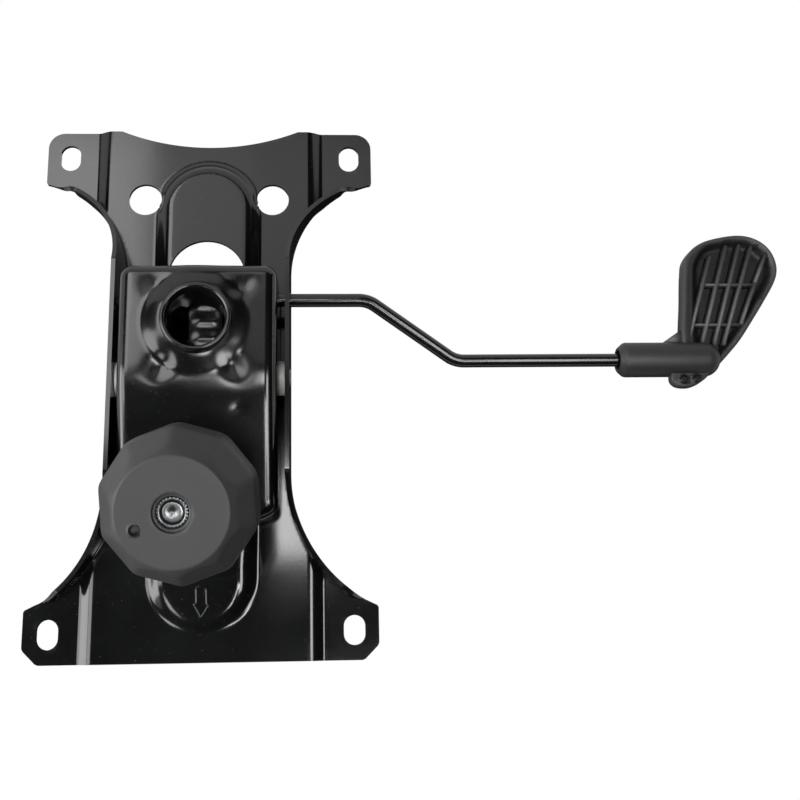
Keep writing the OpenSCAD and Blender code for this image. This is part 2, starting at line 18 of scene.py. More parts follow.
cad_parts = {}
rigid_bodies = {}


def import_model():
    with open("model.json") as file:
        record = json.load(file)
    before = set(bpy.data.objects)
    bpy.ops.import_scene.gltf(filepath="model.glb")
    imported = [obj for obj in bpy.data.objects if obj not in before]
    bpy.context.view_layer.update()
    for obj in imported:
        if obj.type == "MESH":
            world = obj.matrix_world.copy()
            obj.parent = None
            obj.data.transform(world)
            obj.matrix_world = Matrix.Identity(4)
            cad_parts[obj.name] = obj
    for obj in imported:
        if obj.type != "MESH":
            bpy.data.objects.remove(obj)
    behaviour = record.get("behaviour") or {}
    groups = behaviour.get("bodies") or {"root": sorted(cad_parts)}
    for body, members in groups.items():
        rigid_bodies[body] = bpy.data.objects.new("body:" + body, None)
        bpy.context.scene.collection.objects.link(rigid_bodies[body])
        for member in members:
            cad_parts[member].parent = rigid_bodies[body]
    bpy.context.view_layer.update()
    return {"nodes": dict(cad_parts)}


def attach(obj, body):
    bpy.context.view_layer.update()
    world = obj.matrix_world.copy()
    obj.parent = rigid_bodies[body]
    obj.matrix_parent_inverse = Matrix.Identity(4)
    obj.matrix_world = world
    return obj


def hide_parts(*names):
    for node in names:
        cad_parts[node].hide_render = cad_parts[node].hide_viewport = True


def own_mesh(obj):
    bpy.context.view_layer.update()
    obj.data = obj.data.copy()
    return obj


for leftover in list(bpy.data.objects):
    bpy.data.objects.remove(leftover)
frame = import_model()
scene = bpy.context.scene
scene.view_settings.view_transform = "Standard"
MM = 0.001

# %% [markdown]
# ## Camera
# The photograph was taken from below and a little in front, with the lever at the right. The camera's place and axes
# come from a perspective fit to the four seat slots and the socket mouth. A camera in Blender looks along its own -Z
# with +Y up, so its matrix is filled column by column from the fitted right, down and forward directions.

# %% Camera
CAMERA_AT = Vector((153.17164, -64.0363, -477.62434)) * MM
CAMERA_RIGHT = Vector((0.01671396, -0.99903105, -0.0407138))
CAMERA_DOWN = Vector((0.9766346, 0.00758657, 0.21477269))
CAMERA_AHEAD = Vector((-0.21425571, -0.04335221, 0.97581508))
camera_data = bpy.data.cameras.new("photo_camera")
camera_data.sensor_width = 36
camera_data.lens = 45.547
camera_data.shift_x = 0.03682
camera_data.shift_y = 0.01443
camera = bpy.data.objects.new("photo_camera", camera_data)
axes = Matrix((CAMERA_RIGHT, -CAMERA_DOWN, -CAMERA_AHEAD)).transposed().to_4x4()
camera.matrix_world = Matrix.Translation(CAMERA_AT) @ axes
scene.collection.objects.link(camera)
scene.camera = camera
print("camera at", tuple(round(v, 3) for v in CAMERA_AT))

# %% [markdown]
# ## Finishes
# Every surface gets its own material made of nodes. Colours are written as sRGB hex values, and one function turns them
# to the linear values that a shader needs. Another adds a node, sets its fields and links its inputs.

# %% Colours and nodes
def linear(code):
    parts = [int(code[i:i + 2], 16) / 255 for i in (1, 3, 5)]
    return [p / 12.92 if p <= 0.04045 else ((p + 0.055) / 1.055) ** 2.4 for p in parts] + [1.0]


def add(tree, kind, fields=None, **inputs):
    node = tree.nodes.new(kind)
    for field, value in (fields or {}).items():
        setattr(node, field, value)
    for key, value in inputs.items():
        socket = node.inputs[int(key[1:])] if key[0] == "_" else node.inputs[key.replace("_", " ")]
        if isinstance(value, bpy.types.NodeSocket):
            tree.links.new(value, socket)
        else:
            socket.default_value = linear(value) if isinstance(value, str) else value
    return node


print("white in linear:", linear("#ffffff")[:3])

# %% [markdown]
# ### What a finish is made of
# A finish has a tone that drifts between two colours, a roughness that drifts between two values, and a fine relief.
# Each follows noise of a size in millimetres and a level of detail. The noise's scale is one over that size in metres,
# because the object's own coordinates are metres. Layers then tint raised edges or scattered specks, or paint shade
# into a band of height.

# %% Finish
SPECK, NOISE_SPAN = 1.1, (0.3, 0.7)


def finish(name, tone, rough, relief, layers=(), stretch=(1.0, 1.0, 1.0), **settings):
    material = bpy.data.materials.new(name)
    material.use_nodes = True
    tree = material.node_tree
    tree.nodes.clear()
    place = add(tree, "ShaderNodeTexCoord").outputs["Object"]
    drawn = add(tree, "ShaderNodeMapping", Vector=place, Scale=stretch).outputs["Vector"]

    def noise(size, detail):
        return add(tree, "ShaderNodeTexNoise", Vector=drawn, Scale=1 / (size * MM), Detail=detail).outputs["Fac"]

    def between(value, low, high, start, end):
        limits = {"From_Min": low, "From_Max": high, "To_Min": start, "To_Max": end}
        return add(tree, "ShaderNodeMapRange", Value=value, **limits).outputs["Result"]

    def mixed(share, dark, light):
        return add(tree, "ShaderNodeMix", {"data_type": "RGBA"}, _0=share, _6=dark, _7=light).outputs[2]

    colour = mixed(noise(*tone[:2]), *tone[2:])
    for where, low, high, share, tint in layers:
        if where == "edge":
            measure = add(tree, "ShaderNodeNewGeometry").outputs["Pointiness"]
        elif where == "height":
            # a band of object height, used for painted shade deep in the paddle's dish
            measure = add(tree, "ShaderNodeSeparateXYZ", Vector=place).outputs["Z"]
        else:
            measure = noise(SPECK, 0)
        colour = mixed(between(measure, low, high, 0, share), colour, tint)
    roughness = between(noise(*rough[:2]), *NOISE_SPAN, *rough[2:])
    size, detail, depth, strength = relief
    bump = add(tree, "ShaderNodeBump", Height=noise(size, detail), Strength=strength, Distance=depth * MM)
    shader = add(tree, "ShaderNodeBsdfPrincipled", Base_Color=colour, Roughness=roughness,
                 Normal=bump.outputs["Normal"], **settings)
    add(tree, "ShaderNodeOutputMaterial", Surface=shader.outputs["BSDF"])
    print(name)
    return material


print("finish ready, specks of", SPECK, "mm")

# %% [markdown]
# ### Stove enamel on pressed steel
# The plate and the box are pressed from sheet, degreased, dipped or sprayed black and baked. Baked enamel is a smooth
# dark film with a gloss a little short of a mirror, and on the deep drawn box it is a shade duller. It flows to a faint
# orange peel about 2 mm across, it is a touch thinner and greyer on sharp edges, and shop dust leaves a few paler
# specks. The peel is a very shallow bump, and the thin edges come from the mesh's own convexity.

# %% Stove enamel
def enamel(name, low, high):
    return finish(name, (35, 3, "#070708", "#0d0e0e"), (35, 3, low, high), (2.2, 1, 0.05, 0.12),
                  [("edge", 0.53, 0.62, 1, "#131415"), ("specks", 0.77, 0.83, 0.22, "#4a4a4a")], IOR=1.5)


ENAMEL = enamel("stove_enamel_black", 0.10, 0.15)
BOX_ENAMEL = enamel("stove_enamel_black_drawn", 0.13, 0.18)

# %% [markdown]
# ### Lacquered, phosphated and zinc plated steel
# The lever is drawn round bar with a thin gloss lacquer: smoother than the pressings, with faint marks that run along
# the drawing direction. Hidden fittings are phosphated, a dull dark grey crystal film. The bolt, insert and axle are
# zinc plated, a pale bluish metal whose passivation clouds it slightly. The spring is dipped in thin black paint.

# %% Steel finishes
LACQUER = finish("lacquered_drawn_bar", (0.5, 2, "#08080a", "#131315"), (0.5, 2, 0.14, 0.24), (0.5, 2, 0.02, 0.05),
                 stretch=(1.0, 0.04, 1.0))
PHOSPHATE = finish("phosphated_steel", (0.9, 4, "#1b1c1e", "#35373a"), (0.9, 4, 0.4, 0.6), (0.9, 4, 0.03, 0.3),
                   Metallic=0.5)
ZINC = finish("zinc_plated_steel", (6, 4, "#616365", "#939595"), (0.4, 3, 0.26, 0.46), (0.4, 3, 0.02, 0.3),
              Metallic=1.0)
SPRING_COAT = finish("painted_spring_wire", (5, 3, "#0d0d0e", "#1c1d1e"), (5, 3, 0.3, 0.5), (1.4, 2, 0.06, 0.3))

# %% [markdown]
# ### Moulded plastics and rubber
# The knob is moulded in a satin dark grey, the paddle in a matt black; painted shade darkens it deep in its dish.
# Both tools are spark eroded, which leaves a grain of about a third of a millimetre; it is drawn at 0.6 mm, because the
# true one is finer than a pixel. Hands rub the raised edges paler. The bushes are natural nylon, a milky off white that
# light enters a little way. The stops are dull black rubber.

# %% Moulded finishes
KNOB_PLASTIC = finish("moulded_polypropylene_grey", (18, 2, "#29292a", "#2f2f30"), (0.6, 2, 0.42, 0.55),
                      (0.6, 2, 0.05, 0.25), [("edge", 0.52, 0.6, 1, "#424243")], Specular_IOR_Level=0.3)
# painted shade: the height layer darkens the paddle towards the deep end of its dish, from 37.8 to 41.2 mm up
PADDLE_PLASTIC = finish("moulded_nylon_black", (14, 2, "#171718", "#202021"), (0.6, 2, 0.46, 0.6), (0.6, 2, 0.05, 0.3),
                        [("edge", 0.52, 0.62, 1, "#434344"), ("height", 0.0378, 0.0412, 1, "#0a0a0b")])
NYLON = finish("natural_nylon", (4, 3, "#ebe9e1", "#f6f4ee"), (4, 3, 0.38, 0.5), (0.8, 2, 0.03, 0.2),
               Subsurface_Weight=0.15, Subsurface_Radius=(0.0012, 0.0011, 0.0009))
RUBBER = finish("moulded_rubber_black", (3, 4, "#101011", "#1d1d1e"), (3, 4, 0.7, 0.85), (0.7, 2, 0.04, 0.3))

# %% [markdown]
# ## From points to pieces
# Each piece is a mesh of points in millimetres. `piece` scales it, gives it its finish, lets it ride on a body of the
# imported model and hides the solid that it stands for. `Mesh` collects patches, which are welded where their edges
# meet. Two patches come up again and again: `net`, a sheet of quads over a grid of points, and `spread`, a flat region
# with holes that is cut into small triangles and then given its height.

# %% Mesh helpers
WELD, SLIVER = 0.004, 0.0005


class Mesh:
    def __init__(self):
        self.points, self.faces = [], []

    def patch(self, points, faces, flip=False):
        start = len(self.points)
        self.points += [tuple(p) for p in np.asarray(points, float).reshape(-1, 3)]
        self.faces += [[start + i for i in (face[::-1] if flip else face)] for face in faces]
        return self

    def net(self, grid, wrap=False, flip=False):
        grid = np.asarray(grid, float)
        rows, cols = grid.shape[:2]
        quads = []
        for r in range(rows - 1):
            for c in range(cols if wrap else cols - 1):
                d = (c + 1) % cols
                quads.append([r * cols + c, r * cols + d, (r + 1) * cols + d, (r + 1) * cols + c])
        return self.patch(grid, quads, flip)

    def cap(self, ring, flip=False):
        return self.patch(ring, [list(range(len(ring)))], flip)


def piece(name, mesh, body, material, stands_for=()):
    data = bpy.data.meshes.new(name)
    data.from_pydata([tuple(c * MM for c in p) for p in mesh.points], [], mesh.faces)
    made = bpy.data.objects.new(name, data)
    scene.collection.objects.link(made)
    work = bmesh.new()
    work.from_mesh(data)
    bmesh.ops.remove_doubles(work, verts=work.verts, dist=WELD * MM)
    bmesh.ops.dissolve_degenerate(work, edges=work.edges, dist=SLIVER * MM)
    work.to_mesh(data)
    work.free()
    data.shade_smooth()
    data.materials.append(material)
    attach(made, body)
    if stands_for:
        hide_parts(*stands_for)
    print(name, len(data.polygons), "faces on", body)
    return made


def soften(made, width, angle):
    bevel = made.modifiers.new("rounded_edges", "BEVEL")
    bevel.width = width * MM
    bevel.segments = 2
    bevel.limit_method = "ANGLE"
    bevel.angle_limit = math.radians(angle)
    bevel.harden_normals = True


def sheet(made, thickness):
    solid = made.modifiers.new("sheet_thickness", "SOLIDIFY")
    solid.thickness = thickness * MM
    solid.offset = -1
    solid.use_even_offset = True
    soften(made, 0.3, 55)


print("points within", WELD, "mm are welded")

# %% [markdown]
# ### Flat outlines
# `arc` and `line` lay points about a millimetre apart. `inside` counts the edges that a line from a point crosses,
# which tells if the point lies in a closed outline. `fill` scatters a net of points in the region, a little off the
# edges, and lets Blender's constrained Delaunay routine join them into triangles, holes left open.

# %% Outline helpers
def arc(centre, radius, start, end, step=1.2):
    count = max(int(abs(math.radians(end - start)) * radius / step), 3)
    turn = np.radians(np.linspace(start, end, count + 1))
    return np.stack([centre[0] + radius * np.cos(turn), centre[1] + radius * np.sin(turn)], 1)


def line(a, b, step=1.2):
    a, b = np.asarray(a, float), np.asarray(b, float)
    count = max(int(np.linalg.norm(b - a) / step), 1)
    return a + (b - a) * np.linspace(0, 1, count + 1)[:, None]


def chain(*runs, closed=True):
    points = np.concatenate(runs)
    keep = np.ones(len(points), bool)
    keep[1:] = np.linalg.norm(np.diff(points, axis=0), axis=1) > 0.02
    points = points[keep]
    if closed and np.linalg.norm(points[0] - points[-1]) < 0.02:
        points = points[:-1]
    return points


def polygon(corners, step=1.2):
    return chain(*(line(a, b, step) for a, b in zip(corners, [*corners[1:], corners[0]])))


def circle(centre, radius, step=0.8):
    return arc(centre, radius, 0, 360, step)[:-1]


def slot_outline(x, y, length, width):
    half, r = (length - width) / 2, width / 2
    return chain(arc((x + half, y), r, -90, 90, 0.8), line((x + half, y + r), (x - half, y + r)),
                 arc((x - half, y), r, 90, 270, 0.8), line((x - half, y - r), (x + half, y - r)))


def unit(rows):
    return rows / np.linalg.norm(rows, axis=-1, keepdims=True)


def left_of(rows):
    return np.stack([-rows[..., 1], rows[..., 0]], -1)


def distance_along(points):
    return np.concatenate([[0], np.cumsum(np.linalg.norm(np.diff(points, axis=0), axis=1))])


def level(points, z):
    return np.column_stack([points, np.broadcast_to(z, len(points))])


def inside(points, loop):
    x, y = points[:, :1], points[:, 1:]
    (ax, ay), (bx, by) = loop.T, np.roll(loop, -1, 0).T
    with np.errstate(divide="ignore", invalid="ignore"):
        crossed = ((ay > y) != (by > y)) & (x < (bx - ax) * (y - ay) / (by - ay) + ax)
    return crossed.sum(1) % 2 == 1


def in_region(points, loops):
    kept = inside(points, loops[0])
    for hole in loops[1:]:
        kept &= ~inside(points, hole)
    return kept


def fill(loops, pitch):
    low, high = loops[0].min(0), loops[0].max(0)
    rows = np.arange(low[1] + pitch / 2, high[1], pitch * 0.866)
    net = [(x + (pitch / 2 if i % 2 else 0), y) for i, y in enumerate(rows)
           for x in np.arange(low[0] + pitch / 4, high[0], pitch)]
    net = np.array(net).reshape(-1, 2)
    edge = np.concatenate(loops)
    net = net[in_region(net, loops)]
    clear = np.array([np.min(np.sum((edge - p) ** 2, 1)) > (0.55 * pitch) ** 2 for p in net], bool)
    points = np.concatenate([edge, net[clear]])
    edges, start = [], 0
    for loop in loops:
        count = len(loop)
        edges += [(start + i, start + (i + 1) % count) for i in range(count)]
        start += count
    got = delaunay_2d_cdt([Vector(p) for p in points], edges, [], 0, 1e-5)
    flat = np.array([tuple(v) for v in got[0]])
    faces = np.array([list(f) for f in got[2] if len(f) == 3])
    faces = faces[in_region(flat[faces].mean(1), loops)]
    a, b, c = np.moveaxis(flat[faces], 1, 0)
    clockwise = np.cross(b - a, c - a) < 0
    faces[clockwise] = faces[clockwise][:, ::-1]
    return flat, faces.tolist()


def spread(mesh, loops, pitch, height, flip=False):
    flat, faces = fill(loops, pitch)
    return mesh.patch(level(flat, height(*flat.T) if callable(height) else height), faces, flip)


def smooth(value, low, high):
    share = np.clip((np.asarray(value, float) - low) / (high - low), 0, 1)
    return share * share * (3 - 2 * share)


def ramp(distance, width, bend):
    """Straight slope from 0 to 1 over a width, with both ends rolled over a bend."""
    def area(s):
        return (np.maximum(s, 0) ** 2 - np.maximum(s - width, 0) ** 2) / (2 * width)
    return (area(distance + bend / 2) - area(distance - bend / 2)) / bend


print("slot outline points:", len(slot_outline(0, 0, 15, 11)))

# %% [markdown]
# ### Bent-over edges
# Both pressings turn over at their edge: the plate's waist bends down into flanges, the box's floor bends up into its
# walls. `skirt` walks along such an edge. At each point it rolls the sheet round the bend radius and then runs it
# straight on, and the straight part is filled as a flat region so that holes can be left in it.

# %% Skirt
BEND_ROWS, SKIRT_PITCH = 9, 2.2


def skirt(mesh, edge, out, along, height, first, last, radius, sign, reach, holes, flip=False):
    turn = first + (last - first) * np.linspace(0, 1, BEND_ROWS)[:, None]
    away = radius * (np.sin(turn) - np.sin(first))
    rise = sign * radius * (np.cos(first) - np.cos(turn))
    grid = np.concatenate([edge[None] + away[..., None] * out[None], (height + rise)[..., None]], 2)
    mesh.net(grid, flip=flip)
    rim = np.stack([along, reach], 1)[::-1]
    end = line((along[-1], 0), (along[-1], reach[-1]), SKIRT_PITCH)[1:-1]
    start = line((0, reach[0]), (0, 0), SKIRT_PITCH)[1:-1]
    outline = np.concatenate([np.stack([along, along * 0], 1), end, rim, start])
    flat, faces = fill([outline, *holes], SKIRT_PITCH)
    s, v = flat[:, 0], flat[:, 1]
    base = np.stack([np.interp(s, along, grid[-1][:, k]) for k in range(3)], 1)
    heading = np.stack([np.interp(s, along, out[:, k]) for k in range(2)], 1)
    tilt = np.interp(s, along, last)
    base[:, :2] += heading * (v * np.cos(tilt))[:, None]
    base[:, 2] += sign * v * np.sin(tilt)
    mesh.patch(base, faces, flip)


print("skirt ready")

# %% [markdown]
# ## Seat plate
# One sheet, pressed in one stroke: four ears with screw slots, a step of 3 mm along both sides, a long boss down the
# middle that is 5 mm deep and runs out wider and shallower at the front, and two flanges that carry the tilt axle. The
# flat part is filled inside its outline and then given its height by formula, so that steps and boss get the rolled
# bends of pressed sheet. The flanges are skirts. The whole is one surface, which Blender's Solidify turns to sheet.

# %% Plate sizes and height
PLATE_X, PLATE_HALF, PLATE_T = 21.2, 90.0, 2.2
PLATE_X0, PLATE_X1 = PLATE_X - 145, PLATE_X + 145
EAR_TOP, STEP, STEP_OUT, STEP_W, STEP_BEND = 52.6, 3.0, 61.0, 5.5, 2.4
BOSS, BOSS_R, BOSS_W, BOSS_BEND, BOSS_X0, BOSS_X1 = 5.0, 27.0, 5.3, 3.8, -76.4, 124.8
BOSS_FADE, BOSS_SPREAD = 0.5, 0.25
WAIST, REAR_ARC, FRONT_ARC = 45.4, ((-36.8, 103.4), 58.0), ((71.2, 119.4), 74.0)
HEAD_X, HEAD_Z, TROUGH_HALF, TROUGH_DEPTH = 73.645, 44.547, 8.4, 6.5
TOOL_HOLE_X, TOOL_HOLE_Y, TOOL_HOLE_R = PLATE_X - 104, 34.9, 9.0
TROUGH_FADE, HOLE_CLEAR = (12, 15), (0.6, 3.4)


def plate_top(x, y):
    side = np.abs(y)
    beyond = np.maximum(np.maximum(BOSS_X0 - x, x - BOSS_X1), 0)
    into_boss = BOSS_R - np.hypot(side, beyond)
    cradle = np.clip(1 - ((x - HEAD_X) / TROUGH_HALF) ** 2, 0, 1) ** 0.7 * (1 - smooth(side, *TROUGH_FADE))
    clear = smooth(np.hypot(x - TOOL_HOLE_X, side - TOOL_HOLE_Y) - TOOL_HOLE_R, *HOLE_CLEAR)
    clear = clear * (1 - BOSS_FADE * smooth(x, BOSS_X1 - 4, BOSS_X1 + BOSS_R - 2))
    wider = 1 + BOSS_SPREAD * smooth(x, BOSS_X1 - 25, BOSS_X1 - 5)
    return (EAR_TOP - STEP * ramp(STEP_OUT - side, STEP_W, STEP_BEND)
            - BOSS * clear * ramp(into_boss / wider, BOSS_W, BOSS_BEND) - TROUGH_DEPTH * cradle)


print("boss floor at", round(float(plate_top(0.0, 0.0)), 2))

# %% Plate waist
CORNER_TRIM, FLANGE_BEND, FLANGE_EDGE = 0.5, 2.8, 0.12
FOLD_FROM, FOLD_TO = 5.0, 19.0
FLANGE_X, FLANGE_LOW = (-96.8, -36.8, 74.2, 139.2), (49.2, 15.5, 15.5, 49.2)
start_angle = 180 + math.degrees(math.asin((WAIST + REAR_ARC[1] - PLATE_HALF) / REAR_ARC[1]))
end_angle = 360 - math.degrees(math.asin((WAIST + FRONT_ARC[1] - PLATE_HALF) / FRONT_ARC[1]))
waist = chain(arc(*REAR_ARC, start_angle + CORNER_TRIM, 270),
              line((REAR_ARC[0][0], WAIST), (FRONT_ARC[0][0], WAIST)),
              arc(*FRONT_ARC, 270, end_angle - CORNER_TRIM), closed=False)
waist_out = left_of(unit(np.gradient(waist, axis=0)))
run = distance_along(waist)
fold = smooth(run, FOLD_FROM, FOLD_TO) * smooth(run[-1] - run, FOLD_FROM, FOLD_TO)
fold_angle = np.radians(90) * fold
below_bend = plate_top(*(waist - waist_out * FLANGE_BEND).T) - FLANGE_BEND
full_run = np.maximum(below_bend - np.interp(waist[:, 0], FLANGE_X, FLANGE_LOW), 1)
flange_run = FLANGE_EDGE + (full_run - FLANGE_EDGE) * fold ** 1.5
inset = FLANGE_BEND * np.sin(fold_angle) + flange_run * np.cos(fold_angle)
waist_in = waist - waist_out * inset[:, None]
print("waist runs", round(float(run[-1]), 1), "mm")

# %% Plate outline and holes
REAR_DIP, REAR_HALF, EAR_R = 9.8, 49.0, 9.0
rear_radius = (REAR_HALF ** 2 + REAR_DIP ** 2) / (2 * REAR_DIP)
rear_angle = math.degrees(math.asin(REAR_HALF / rear_radius))
rear_centre = (PLATE_X0 + REAR_DIP - rear_radius, 0)
cut = [(PLATE_X1 - dx, PLATE_HALF - dy) for dx, dy in ((8.6, 0), (7, 0.7), (0.7, 7), (0, 8.6))]
left_half = chain(
    arc(rear_centre, rear_radius, 0, rear_angle), line((PLATE_X0, REAR_HALF), (PLATE_X0, PLATE_HALF - EAR_R)),
    arc((PLATE_X0 + EAR_R, PLATE_HALF - EAR_R), EAR_R, 180, 90),
    line((PLATE_X0 + EAR_R, PLATE_HALF), (waist[0][0] - 1, PLATE_HALF)), waist_in,
    line((waist[-1][0] + 1, PLATE_HALF), cut[0]), line(cut[1], cut[2]), line(cut[3], (PLATE_X1, 0)), closed=False)
plate_outline = np.concatenate([left_half, (left_half * (1, -1))[::-1][1:-1]])
SLOT_X, SLOT_Y, SLOT_LENGTH, SLOT_WIDTH = 130.0, 77.5, 15.0, 11.0
plate_holes = [slot_outline(PLATE_X + sx * SLOT_X, sy * SLOT_Y, SLOT_LENGTH, SLOT_WIDTH)
               for sx in (-1, 1) for sy in (-1, 1)]
plate_holes += [circle((TOOL_HOLE_X, sy * TOOL_HOLE_Y), TOOL_HOLE_R) for sy in (-1, 1)]
ACCESS_X, ACCESS_R, ACCESS_FRONT = PLATE_X - 57.4, 20.5, -21.5
half_turn = math.degrees(math.acos((ACCESS_FRONT - ACCESS_X) / ACCESS_R))
flat_half = ACCESS_R * math.sin(math.radians(half_turn))
plate_holes.append(chain(arc((ACCESS_X, 0), ACCESS_R, half_turn, 360 - half_turn),
                         line((ACCESS_FRONT, -flat_half), (ACCESS_FRONT, flat_half))))
SHANK_WINDOW = [(67.8, -5.4), (81.7, -5.4), (81.7, 5.4), (67.8, 5.4)]
plate_holes.append(polygon(SHANK_WINDOW))
plate = spread(Mesh(), [plate_outline, *plate_holes], 1.5, plate_top)
print("plate's flat part:", len(plate.faces), "triangles")

# %% Plate flanges
PIVOT, ROD = (24.0, 29.5), (-17.4, 27.5)
TILT = 12.0
AXLE_HOLE, LOCK_HOLE, ROD_SLOT = 5.02, 2.85, 3.9
rod_reach = math.hypot(ROD[0] - PIVOT[0], ROD[1] - PIVOT[1])
rod_angle = math.degrees(math.atan2(ROD[1] - PIVOT[1], ROD[0] - PIVOT[0]))


def leaned(tilt):
    turn = math.radians(rod_angle - tilt)
    return PIVOT[0] + rod_reach * math.cos(turn), PIVOT[1] + rod_reach * math.sin(turn)


high_angle = rod_angle - TILT
rod_slot = chain(arc(PIVOT, rod_reach + ROD_SLOT, rod_angle, high_angle),
                 arc(leaned(TILT), ROD_SLOT, high_angle, high_angle - 180, 0.8),
                 arc(PIVOT, rod_reach - ROD_SLOT, high_angle, rod_angle),
                 arc(leaned(0), ROD_SLOT, rod_angle - 180, rod_angle - 360, 0.8))
straight_at = run[np.argmin(np.abs(waist[:, 0] - REAR_ARC[0][0]))]
flat_top = float(plate_top(0.0, WAIST)) - FLANGE_BEND


def on_flange(outline):
    return np.stack([straight_at + outline[:, 0] - REAR_ARC[0][0], flat_top - outline[:, 1]], 1)


flange_holes = {1: [circle(PIVOT, AXLE_HOLE), circle(leaned(0), LOCK_HOLE), circle(leaned(TILT), LOCK_HOLE)],
                -1: [circle(PIVOT, AXLE_HOLE), rod_slot]}
for side, holes in flange_holes.items():
    mirror = np.array([1, side])
    skirt(plate, waist_in * mirror, waist_out * mirror, run, plate_top(*waist_in.T), fold_angle * 0, fold_angle,
          FLANGE_BEND, -1, flange_run, [on_flange(h) for h in holes], flip=side < 0)
sheet(piece("pressed_seat_plate", plate, "seat", ENAMEL, ["seat_plate"]), PLATE_T)

# %% [markdown]
# ## Lift box
# A box drawn from one blank: its floor is level round the socket and then rises to the front, square to the tension
# bolt. The floor swells into a neck round the socket, four diagonal dents stiffen that neck, and one small dent lies on
# the slope. It is filled and lifted by formula as the plate was, and its walls are a closed skirt.

# %% Box sizes and floor
BOX_HALF, BOX_T, BOX_REAR, BOX_FRONT, FRONT_R = 39.5, 2.5, -30.4, 103.0, 81.0
BOLT_X, BOLT_Z, BOLT_LEAN = 80.8, 19.7586, math.radians(16.1)
FLOOR_Z, FLOOR_BEND_X, FLOOR_ROLL, FLOOR_SLOPE = 5.5, 31.4, 20.0, math.tan(BOLT_LEAN)
BOX_BEND, REAR_CORNER, FRONT_CORNER = 6.0, 6.6, 7.0
SOCKET_R, CONE_R, CONE_BEND, NECK_R, NECK_BEND, NECK_STEP, NECK_RISE = 17.75, 25.6, 5.0, 27.6, 3.5, 1.2, 2.0
DENT_LONG, DENT_SHORT = 7.4, 5.2
DENTS = ((22.8, 16.8, 36, 1.3, 1.0), (23.4, -18.0, -38, 1.3, 1.0), (-17.4, 19.5, 132, 0.9, 1.0),
         (-18.0, -22.0, -129, 0.9, 1.0), (43.5, -20.7, 60, 0.5, 0.5))


def box_floor(x, y):
    ahead = x - FLOOR_BEND_X
    rolled = np.clip(ahead + FLOOR_ROLL / 2, 0, FLOOR_ROLL) ** 2 / (2 * FLOOR_ROLL)
    rise = FLOOR_SLOPE * np.where(ahead > FLOOR_ROLL / 2, ahead, rolled)
    away = np.hypot(x, y)
    cone = ramp(CONE_R - away, CONE_R - SOCKET_R, CONE_BEND)
    leftward = 0.55 + 0.45 * y / np.maximum(away, 1)
    z = FLOOR_Z + rise - NECK_STEP * leftward * ramp(NECK_R - away, NECK_BEND, NECK_BEND) - NECK_RISE * cone
    for dx, dy, turn, depth, scale in DENTS:
        c, s = math.cos(math.radians(turn)), math.sin(math.radians(turn))
        u, v = (x - dx) * c + (y - dy) * s, -(x - dx) * s + (y - dy) * c
        z = z + depth * np.exp(-(u / (DENT_LONG * scale)) ** 2 - (v / (DENT_SHORT * scale)) ** 2)
    return z


print("floor at the bolt:", round(float(box_floor(BOLT_X, 0.0)), 2))

# %% Box outline
WALL_TOP, WALL_KNEE, WALL_FALL, REAR_TOP, FRONT_TOP, END_DIP = 46.4, 21.0, 0.2062, 27.5, 39.8, (31, 35)

r0, r1, x0, h = REAR_CORNER, FRONT_CORNER, BOX_REAR, BOX_HALF
turn = math.degrees(math.asin((h - r1) / (FRONT_R - r1)))
x1 = BOX_FRONT - FRONT_R + (FRONT_R - r1) * math.cos(math.radians(turn))
wall_line = chain(
    line((x0, 0), (x0, -h + r0)), arc((x0 + r0, -h + r0), r0, 180, 270, 0.9), line((x0 + r0, -h), (x1, -h)),
    arc((x1, -h + r1), r1, 270, 360 - turn, 0.9), arc((BOX_FRONT - FRONT_R, 0), FRONT_R, -turn, turn),
    arc((x1, h - r1), r1, turn, 90, 0.9), line((x1, h), (x0 + r0, h)),
    arc((x0 + r0, h - r0), r0, 90, 180, 0.9), line((x0, h - r0), (x0, 0)), closed=False)
ahead = np.roll(wall_line[:-1], -1, 0) - np.roll(wall_line[:-1], 1, 0)
wall_out = -left_of(unit(np.concatenate([ahead, ahead[:1]])))
lean = np.arctan(FLOOR_SLOPE * wall_out[:, 0] * (wall_line[:, 0] > FLOOR_BEND_X) * (wall_out[:, 0] > 0))
floor_edge = wall_line - wall_out * (BOX_BEND * (1 - np.sin(lean)))[:, None]
side_top = WALL_TOP - WALL_FALL * np.maximum(WALL_KNEE - wall_line[:, 0], 0)
end_top = np.where(wall_line[:, 0] < 0, REAR_TOP, FRONT_TOP)
wall_top = side_top + (end_top - side_top) * (1 - smooth(np.abs(wall_line[:, 1]), *END_DIP))
floor_level = box_floor(*floor_edge.T)
bend_top = floor_level + BOX_BEND * np.cos(lean)
wall_run = distance_along(wall_line)
print("wall line:", len(wall_line), "points")

# %% Box mesh
AXLE_BORE, ROD_BORE, BOLT_BORE = 8.0, 4.9, 6.4
floor_holes = [circle((0, 0), SOCKET_R + 0.02), circle((BOLT_X, 0), BOLT_BORE)]
box = spread(Mesh(), [floor_edge[:-1], *floor_holes], 1.2, box_floor, flip=True)


def on_wall(outline, side):
    walls = np.flatnonzero(np.abs(wall_line[:, 1] - side * BOX_HALF) < 0.001)
    walls = walls[np.argsort(wall_line[walls, 0])]
    s = np.interp(outline[:, 0], wall_line[walls, 0], wall_run[walls])
    return np.stack([s, outline[:, 1] - np.interp(outline[:, 0], wall_line[walls, 0], bend_top[walls])], 1)


wall_holes = [on_wall(circle(*bore), side) for bore in ((PIVOT, AXLE_BORE), (ROD, ROD_BORE)) for side in (1, -1)]
skirt(box, floor_edge, wall_out, wall_run, floor_level, lean, lean * 0 + math.radians(90), BOX_BEND, 1,
      wall_top - bend_top, wall_holes)
sheet(piece("drawn_lift_box", box, "lift_base", BOX_ENAMEL, ["lift_box"]), BOX_T)

